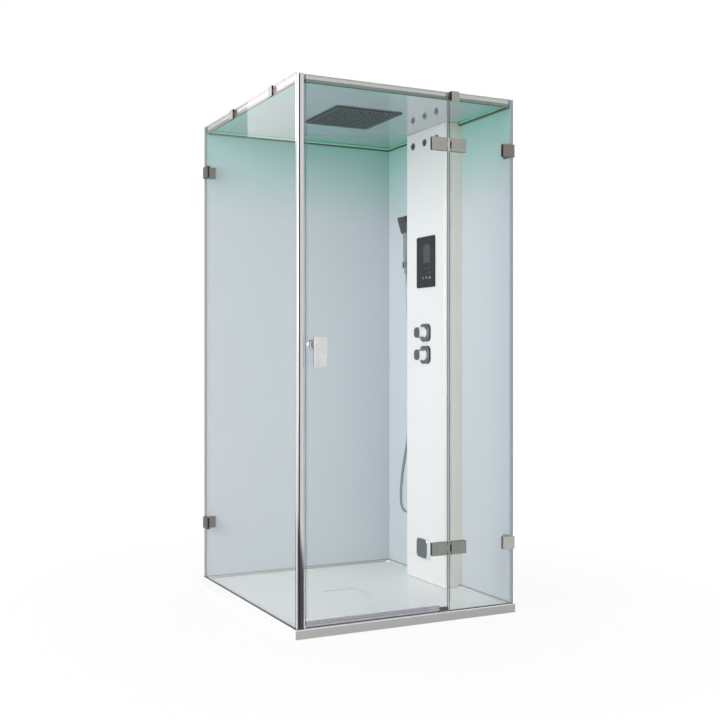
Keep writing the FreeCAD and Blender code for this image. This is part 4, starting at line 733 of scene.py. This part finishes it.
class SHOWER_OT_finish_nodes(bpy.types.Operator):
    """Give every solid of the cabin its real finish"""
    bl_idname = "shower.finish_nodes"
    bl_label = "Finish solids"

    def execute(self, context):
        MATERIALS.update(shower_materials(context.scene.shower_finishes))
        for name, finish in FINISH_OF_NODE.items():
            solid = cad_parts[name]
            solid.data.materials.clear()
            solid.data.materials.append(MATERIALS[finish])
        for name in ("left_glass", "front_fixed_glass", "door_glass", "back_panel", "right_panel"):
            self.mark_edges(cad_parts[name].data)
        return {"FINISHED"}

    def mark_edges(self, mesh):
        """Stores 1 on faces that look across the pane's thin way, 0 on its two large faces."""
        points = np.empty(len(mesh.vertices) * 3)
        mesh.vertices.foreach_get("co", points)
        size = np.ptp(points.reshape(-1, 3), axis=0)
        thin = int(np.argmin(size))
        normals = np.empty(len(mesh.polygons) * 3)
        mesh.polygons.foreach_get("normal", normals)
        across = (np.abs(normals.reshape(-1, 3)[:, thin]) < 0.5).astype(float)
        mesh.attributes.new("edge_face", "FLOAT", "FACE").data.foreach_set("value", across)


class SHOWER_OT_hose(bpy.types.Operator):
    """Lay the metal hose from the hand shower to its outlet"""
    bl_idname = "shower.hose"
    bl_label = "Hose"

    def execute(self, context):
        curve = bpy.data.curves.new("metal_hose", "CURVE")
        curve.dimensions = "3D"
        line = curve.splines.new("NURBS")
        line.points.add(len(HOSE_ROUTE) - 1)
        for point, place in zip(line.points, HOSE_ROUTE):
            point.co = (*place, 1.0)
        line.order_u = 3
        line.use_endpoint_u = True
        line.resolution_u = 16
        curve.bevel_depth = context.scene.shower_sizes.hose_radius
        curve.bevel_resolution = 6
        hose = bpy.data.objects.new("metal_hose", curve)
        context.scene.collection.objects.link(hose)
        curve.materials.append(MATERIALS["hose"])
        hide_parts("shower_hose")
        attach(hose, "cabin")
        return {"FINISHED"}


class SHOWER_OT_control_marks(bpy.types.Operator):
    """Print the display and the plain icons on the control panel"""
    bl_idname = "shower.control_marks"
    bl_label = "Control panel marks"

    def execute(self, context):
        low, high = node_box("control_glass")
        face, y, z = low[0], (low[1] + high[1]) / 2, (low[2] + high[2]) / 2
        u, v = (0, -1.0, 0), (0, 0, 1.0)
        lift = 0.3 * MM

        # Places are in mm on the panel's face, right of its middle and above it.
        def at(right, up):
            return (face + 0.02 * MM, y - right * MM, z + up * MM)

        icon_row = -72
        screen = slab(rounded_outline(54 * MM, 83 * MM, 3 * MM), lift, at(11, 36.5), u, v)
        new_piece("panel_display", *screen, MATERIALS["screen"], "cabin", "black_glass", smooth=False)
        faint = []
        for right, up in ((-6, -30), (29, -30), (34, -50)):
            faint.append(slab(rounded_outline(9 * MM, 3 * MM, 1.2 * MM, 4), lift, at(right, up), u, v))
        new_piece("panel_faint_marks", *joined(*faint), MATERIALS["icon"], "cabin",
                  "black_glass", smooth=False)
        arcs = [arc_outline(radius * MM, 24, 2.0, 5.4) for radius in (5.4, 3.6)]
        ring = band(*arcs, lift, at(10, icon_row), u, v)
        bar = slab(rounded_outline(2 * MM, 6 * MM, 0.9 * MM, 4), lift, at(10, icon_row + 4.5), u, v)
        fall = np.array([(0, 9), (3.2, 3.5), (5, -1), (4.4, -4.5), (2.4, -6.6), (0, -7.2),
                         (-2.4, -6.6), (-4.4, -4.5), (-5, -1), (-3.2, 3.5)]) * 0.75 * MM
        drop = slab(fall[::-1], lift, at(38, icon_row), u, v)
        waves = [slab(rounded_outline(8 * MM, 1.6 * MM, 0.7 * MM, 4), lift, at(-18, icon_row + step), u, v)
                 for step in (-3.5, 0, 3.5)]
        new_piece("panel_icons", *joined(ring, bar, drop, *waves), MATERIALS["icon_bright"], "cabin",
                  "black_glass", smooth=False)
        return {"FINISHED"}


class SHOWER_OT_screws(bpy.types.Operator):
    """Set domed socket screws in the hinge plates and roof clips"""
    bl_idname = "shower.screws"
    bl_label = "Screws"

    def execute(self, context):
        r = context.scene.shower_sizes.screw_radius
        for node, body in (("hinge_door_clamps", "door"), ("hinge_fixed_clamps", "cabin")):
            low, high = node_box(node)
            reach = (high[0] - low[0]) / 4
            x = (low[0] + high[0]) / 2
            half_plate = 26 * MM
            zs = (low[2] + half_plate, high[2] - half_plate)
            spots = [(x + a * reach, high[1], z) for z in zs for a in (-1, 1)]
            self.add_screws(node + "_screws", spots, (0, 1, 0), r, body)
        low, high = node_box("roof_clips")
        rail = node_box("roof_rails")[0]
        in_rail = 14 * MM
        tops = [(FRONT_CLIP_X, rail[1] + in_rail, high[2])]
        tops += [(rail[0] + in_rail, y, high[2]) for y in LEFT_CLIP_YS]
        self.add_screws("roof_clip_screws", tops, (0, 0, 1), r, "cabin")
        return {"FINISHED"}

    def add_screws(self, name, spots, axis, r, body):
        """Domed head with a hollow socket: radius against height, turned about the screw's axis."""
        profile = [(r, 0), (r, 0.12 * r), (0.86 * r, 0.24 * r), (0.5 * r, 0.3 * r), (0.42 * r, 0.28 * r),
                   (0.4 * r, 0.02 * r), (0.0001 * r, 0.02 * r)]
        points, faces = lathe(profile, spots, axis, SCREW_SIDES)
        new_piece(name, points, faces, MATERIALS["chrome"], body, "satin_nickel")


class SHOWER_OT_nozzles(bpy.types.Operator):
    """Set soft nozzles in the rain head and on the hand shower's face"""
    bl_idname = "shower.nozzles"
    bl_label = "Nozzles"

    def execute(self, context):
        sizes = context.scene.shower_sizes
        low, high = node_box("rain_head_plate")
        middle = (low + high) / 2
        r = sizes.nozzle_radius
        rows, pitch_mm = 12, 23
        step = (np.arange(rows) - (rows - 1) / 2) * pitch_mm * MM
        gx, gy = np.meshgrid(step, step)
        spots = np.stack([middle[0] + gx.ravel(), middle[1] + gy.ravel(), np.full(gx.size, low[2])], axis=1)
        cone = [(1.7 * r, -0.2 * MM), (1.7 * r, 0), (1.2 * r, 0.3 * r), (r, 1.1 * r), (0.45 * r, 1.1 * r),
                (0.4 * r, 0)]
        points, faces = lathe(cone, spots, (0, 0, -1), NOZZLE_SIDES)
        new_piece("rain_nozzles", points, faces, MATERIALS["nozzle"], "cabin", "black_rubber")
        self.hand_nozzles(sizes)
        return {"FINISHED"}

    def hand_nozzles(self, sizes):
        """Rows across the sloping spray face: points between its lower and upper edges."""
        low, high = node_box("hand_spray_plate")
        foot = np.array([high[0] - 3 * MM, 0, low[2] + 3.5 * MM])
        tip = np.array([low[0], 0, high[2] - 2.5 * MM])
        way = tip - foot
        out = np.cross(way, (0, 1.0, 0))
        out = out / np.linalg.norm(out)
        out = out if out[0] < 0 else -out
        a = np.linspace(0.1, 0.9, sizes.spray_rows)
        rim = 6 * MM
        b = np.linspace(low[1] + rim, high[1] - rim, sizes.spray_rows)
        ga, gb = np.meshgrid(a, b)
        spots = foot + ga.ravel()[:, None] * way
        spots[:, 1] = gb.ravel()
        r = 0.55 * sizes.nozzle_radius
        cone = [(1.5 * r, -1 * MM), (1.5 * r, 0), (r, 0.5 * r), (0.5 * r, 0.6 * r), (0.3 * r, 0)]
        points, faces = lathe(cone, spots, out, NOZZLE_SIDES)
        new_piece("hand_nozzles", points, faces, MATERIALS["dark"], "hand_shower", "dark_plastic")


class SHOWER_OT_knob_marks(bpy.types.Operator):
    """Put a pointer line on each knob's face"""
    bl_idname = "shower.knob_marks"
    bl_label = "Knob pointers"

    def execute(self, context):
        for node, body in (("diverter_knob", "diverter"), ("thermostat_knob", "thermostat")):
            low, high = node_box(node)
            y, z = (low[1] + high[1]) / 2, (low[2] + high[2]) / 2
            mark = slab(rounded_outline(2.2 * MM, 10 * MM, 1 * MM, 4), 0.25 * MM,
                        (low[0] + 0.35 * MM, y, z + 14 * MM), (0, -1.0, 0), (0, 0, 1.0))
            new_piece(node + "_pointer", *mark, MATERIALS["dark"], body, "dark_plastic", smooth=False)
        return {"FINISHED"}


class SHOWER_OT_stage(bpy.types.Operator):
    """Set the plain floor, the soft lamps, the sky and the photograph's camera"""
    bl_idname = "shower.stage"
    bl_label = "Stage"

    def execute(self, context):
        scene = context.scene
        self.floor()
        self.sky(scene)
        for lamp in LAMPS:
            self.lamp(*lamp)
        camera = bpy.data.cameras.new("photo_camera")
        camera.lens = CAMERA_LENS
        camera.sensor_width = 36.0
        camera.shift_x, camera.shift_y = CAMERA_SHIFT
        viewer = bpy.data.objects.new("photo_camera", camera)
        viewer.location = CAMERA_PLACE
        viewer.rotation_euler = (math.radians(90), 0, math.radians(CAMERA_YAW))
        scene.collection.objects.link(viewer)
        scene.camera = viewer
        scene.view_settings.view_transform = "Standard"
        return {"FINISHED"}

    def floor(self):
        """Plain pale floor, a square at height 0."""
        half = 14.0
        corners = [(-half, -half, 0), (half, -half, 0), (half, half, 0), (-half, half, 0)]
        mesh = bpy.data.meshes.new("studio_floor")
        mesh.from_pydata(corners, [], [(0, 1, 2, 3)])
        floor = bpy.data.objects.new("studio_floor", mesh)
        bpy.context.scene.collection.objects.link(floor)
        material, tree, output, place = blank("matt_white_floor")
        paint = add(tree, "ShaderNodeBsdfPrincipled",
                    values={"Base Color": linear("#E6E6E6"), "Roughness": 0.9, "Specular IOR Level": 0.1})
        glow = add(tree, "ShaderNodeEmission", values={"Color": (1, 1, 1, 1), "Strength": 1.0})
        path = add(tree, "ShaderNodeLightPath")
        seen = calc(tree, "MAXIMUM", path.outputs["Is Camera Ray"], path.outputs["Is Glossy Ray"])
        through = calc(tree, "MAXIMUM", seen, path.outputs["Is Transmission Ray"])
        away = add(tree, "ShaderNodeVectorMath", {"operation": "LENGTH"}, n0=place.outputs["Object"])
        shade_from, shade_to = 0.7, 1.9    # the cabin's shade on the floor fades out between these distances
        clean = ramp(tree, away.outputs["Value"], shade_from, shade_to, 0.9, 1.0, kind="SMOOTHSTEP")
        share = calc(tree, "MULTIPLY", through, clean)
        mix = add(tree, "ShaderNodeMixShader", n0=share, n1=paint.outputs[0], n2=glow.outputs[0])
        tree.links.new(mix.outputs[0], output.inputs[0])
        mesh.materials.append(material)

    def sky(self, scene):
        """White surround for the camera and reflections, a dimmer one for the light it gives."""
        world = bpy.data.worlds.new("white_surround")
        world.use_nodes = True
        tree = world.node_tree
        tree.nodes.clear()
        path = add(tree, "ShaderNodeLightPath")
        seen = calc(tree, "MAXIMUM", path.outputs["Is Camera Ray"], path.outputs["Is Transmission Ray"])
        shown = calc(tree, "MAXIMUM", seen, path.outputs["Is Glossy Ray"])
        white = add(tree, "ShaderNodeBackground", values={"Color": (1, 1, 1, 1), "Strength": 1.0})
        soft = add(tree, "ShaderNodeBackground", values={"Color": linear("#F7F7F7"), "Strength": 0.54})
        mix = add(tree, "ShaderNodeMixShader", n0=shown, n1=soft.outputs[0], n2=white.outputs[0])
        output = add(tree, "ShaderNodeOutputWorld")
        tree.links.new(mix.outputs[0], output.inputs[0])
        scene.world = world

    def lamp(self, name, place, target, power, size, colour):
        """Square soft lamp aimed at a point."""
        light = bpy.data.lights.new(name, "AREA")
        light.energy = power
        light.size = size
        light.color = linear(colour)[:3]
        lamp = bpy.data.objects.new(name, light)
        lamp.location = place
        way = np.array(target) - np.array(place)
        flat = math.hypot(way[0], way[1])
        lamp.rotation_euler = (math.atan2(flat, -way[2]), 0, math.atan2(way[1], way[0]) - math.pi / 2)
        bpy.context.scene.collection.objects.link(lamp)


OPERATORS = (SHOWER_OT_finish_nodes, SHOWER_OT_hose, SHOWER_OT_control_marks, SHOWER_OT_screws,
             SHOWER_OT_nozzles, SHOWER_OT_knob_marks, SHOWER_OT_stage)


class SHOWER_PT_pieces(bpy.types.Panel):
    """Buttons for each group of pieces"""
    bl_idname = "SHOWER_PT_pieces"
    bl_label = "Steam shower cabin"
    bl_space_type = "VIEW_3D"
    bl_region_type = "UI"
    bl_category = "Shower"

    def draw(self, context):
        for group in (context.scene.shower_finishes, context.scene.shower_sizes):
            for name in group.__annotations__:
                self.layout.prop(group, name)
        for operator in OPERATORS:
            self.layout.operator(operator.bl_idname)


CLASSES = (ShowerFinishes, ShowerSizes, *OPERATORS, SHOWER_PT_pieces)


def register():
    for cls in CLASSES:
        bpy.utils.register_class(cls)
    bpy.types.Scene.shower_finishes = bpy.props.PointerProperty(type=ShowerFinishes)
    bpy.types.Scene.shower_sizes = bpy.props.PointerProperty(type=ShowerSizes)


def unregister():
    del bpy.types.Scene.shower_sizes
    del bpy.types.Scene.shower_finishes
    for cls in reversed(CLASSES):
        bpy.utils.unregister_class(cls)


def main():
    register()
    bpy.ops.shower.finish_nodes()
    bpy.ops.shower.hose()
    bpy.ops.shower.control_marks()
    bpy.ops.shower.screws()
    bpy.ops.shower.nozzles()
    bpy.ops.shower.knob_marks()
    bpy.ops.shower.stage()


if __name__ == "__main__":
    main()
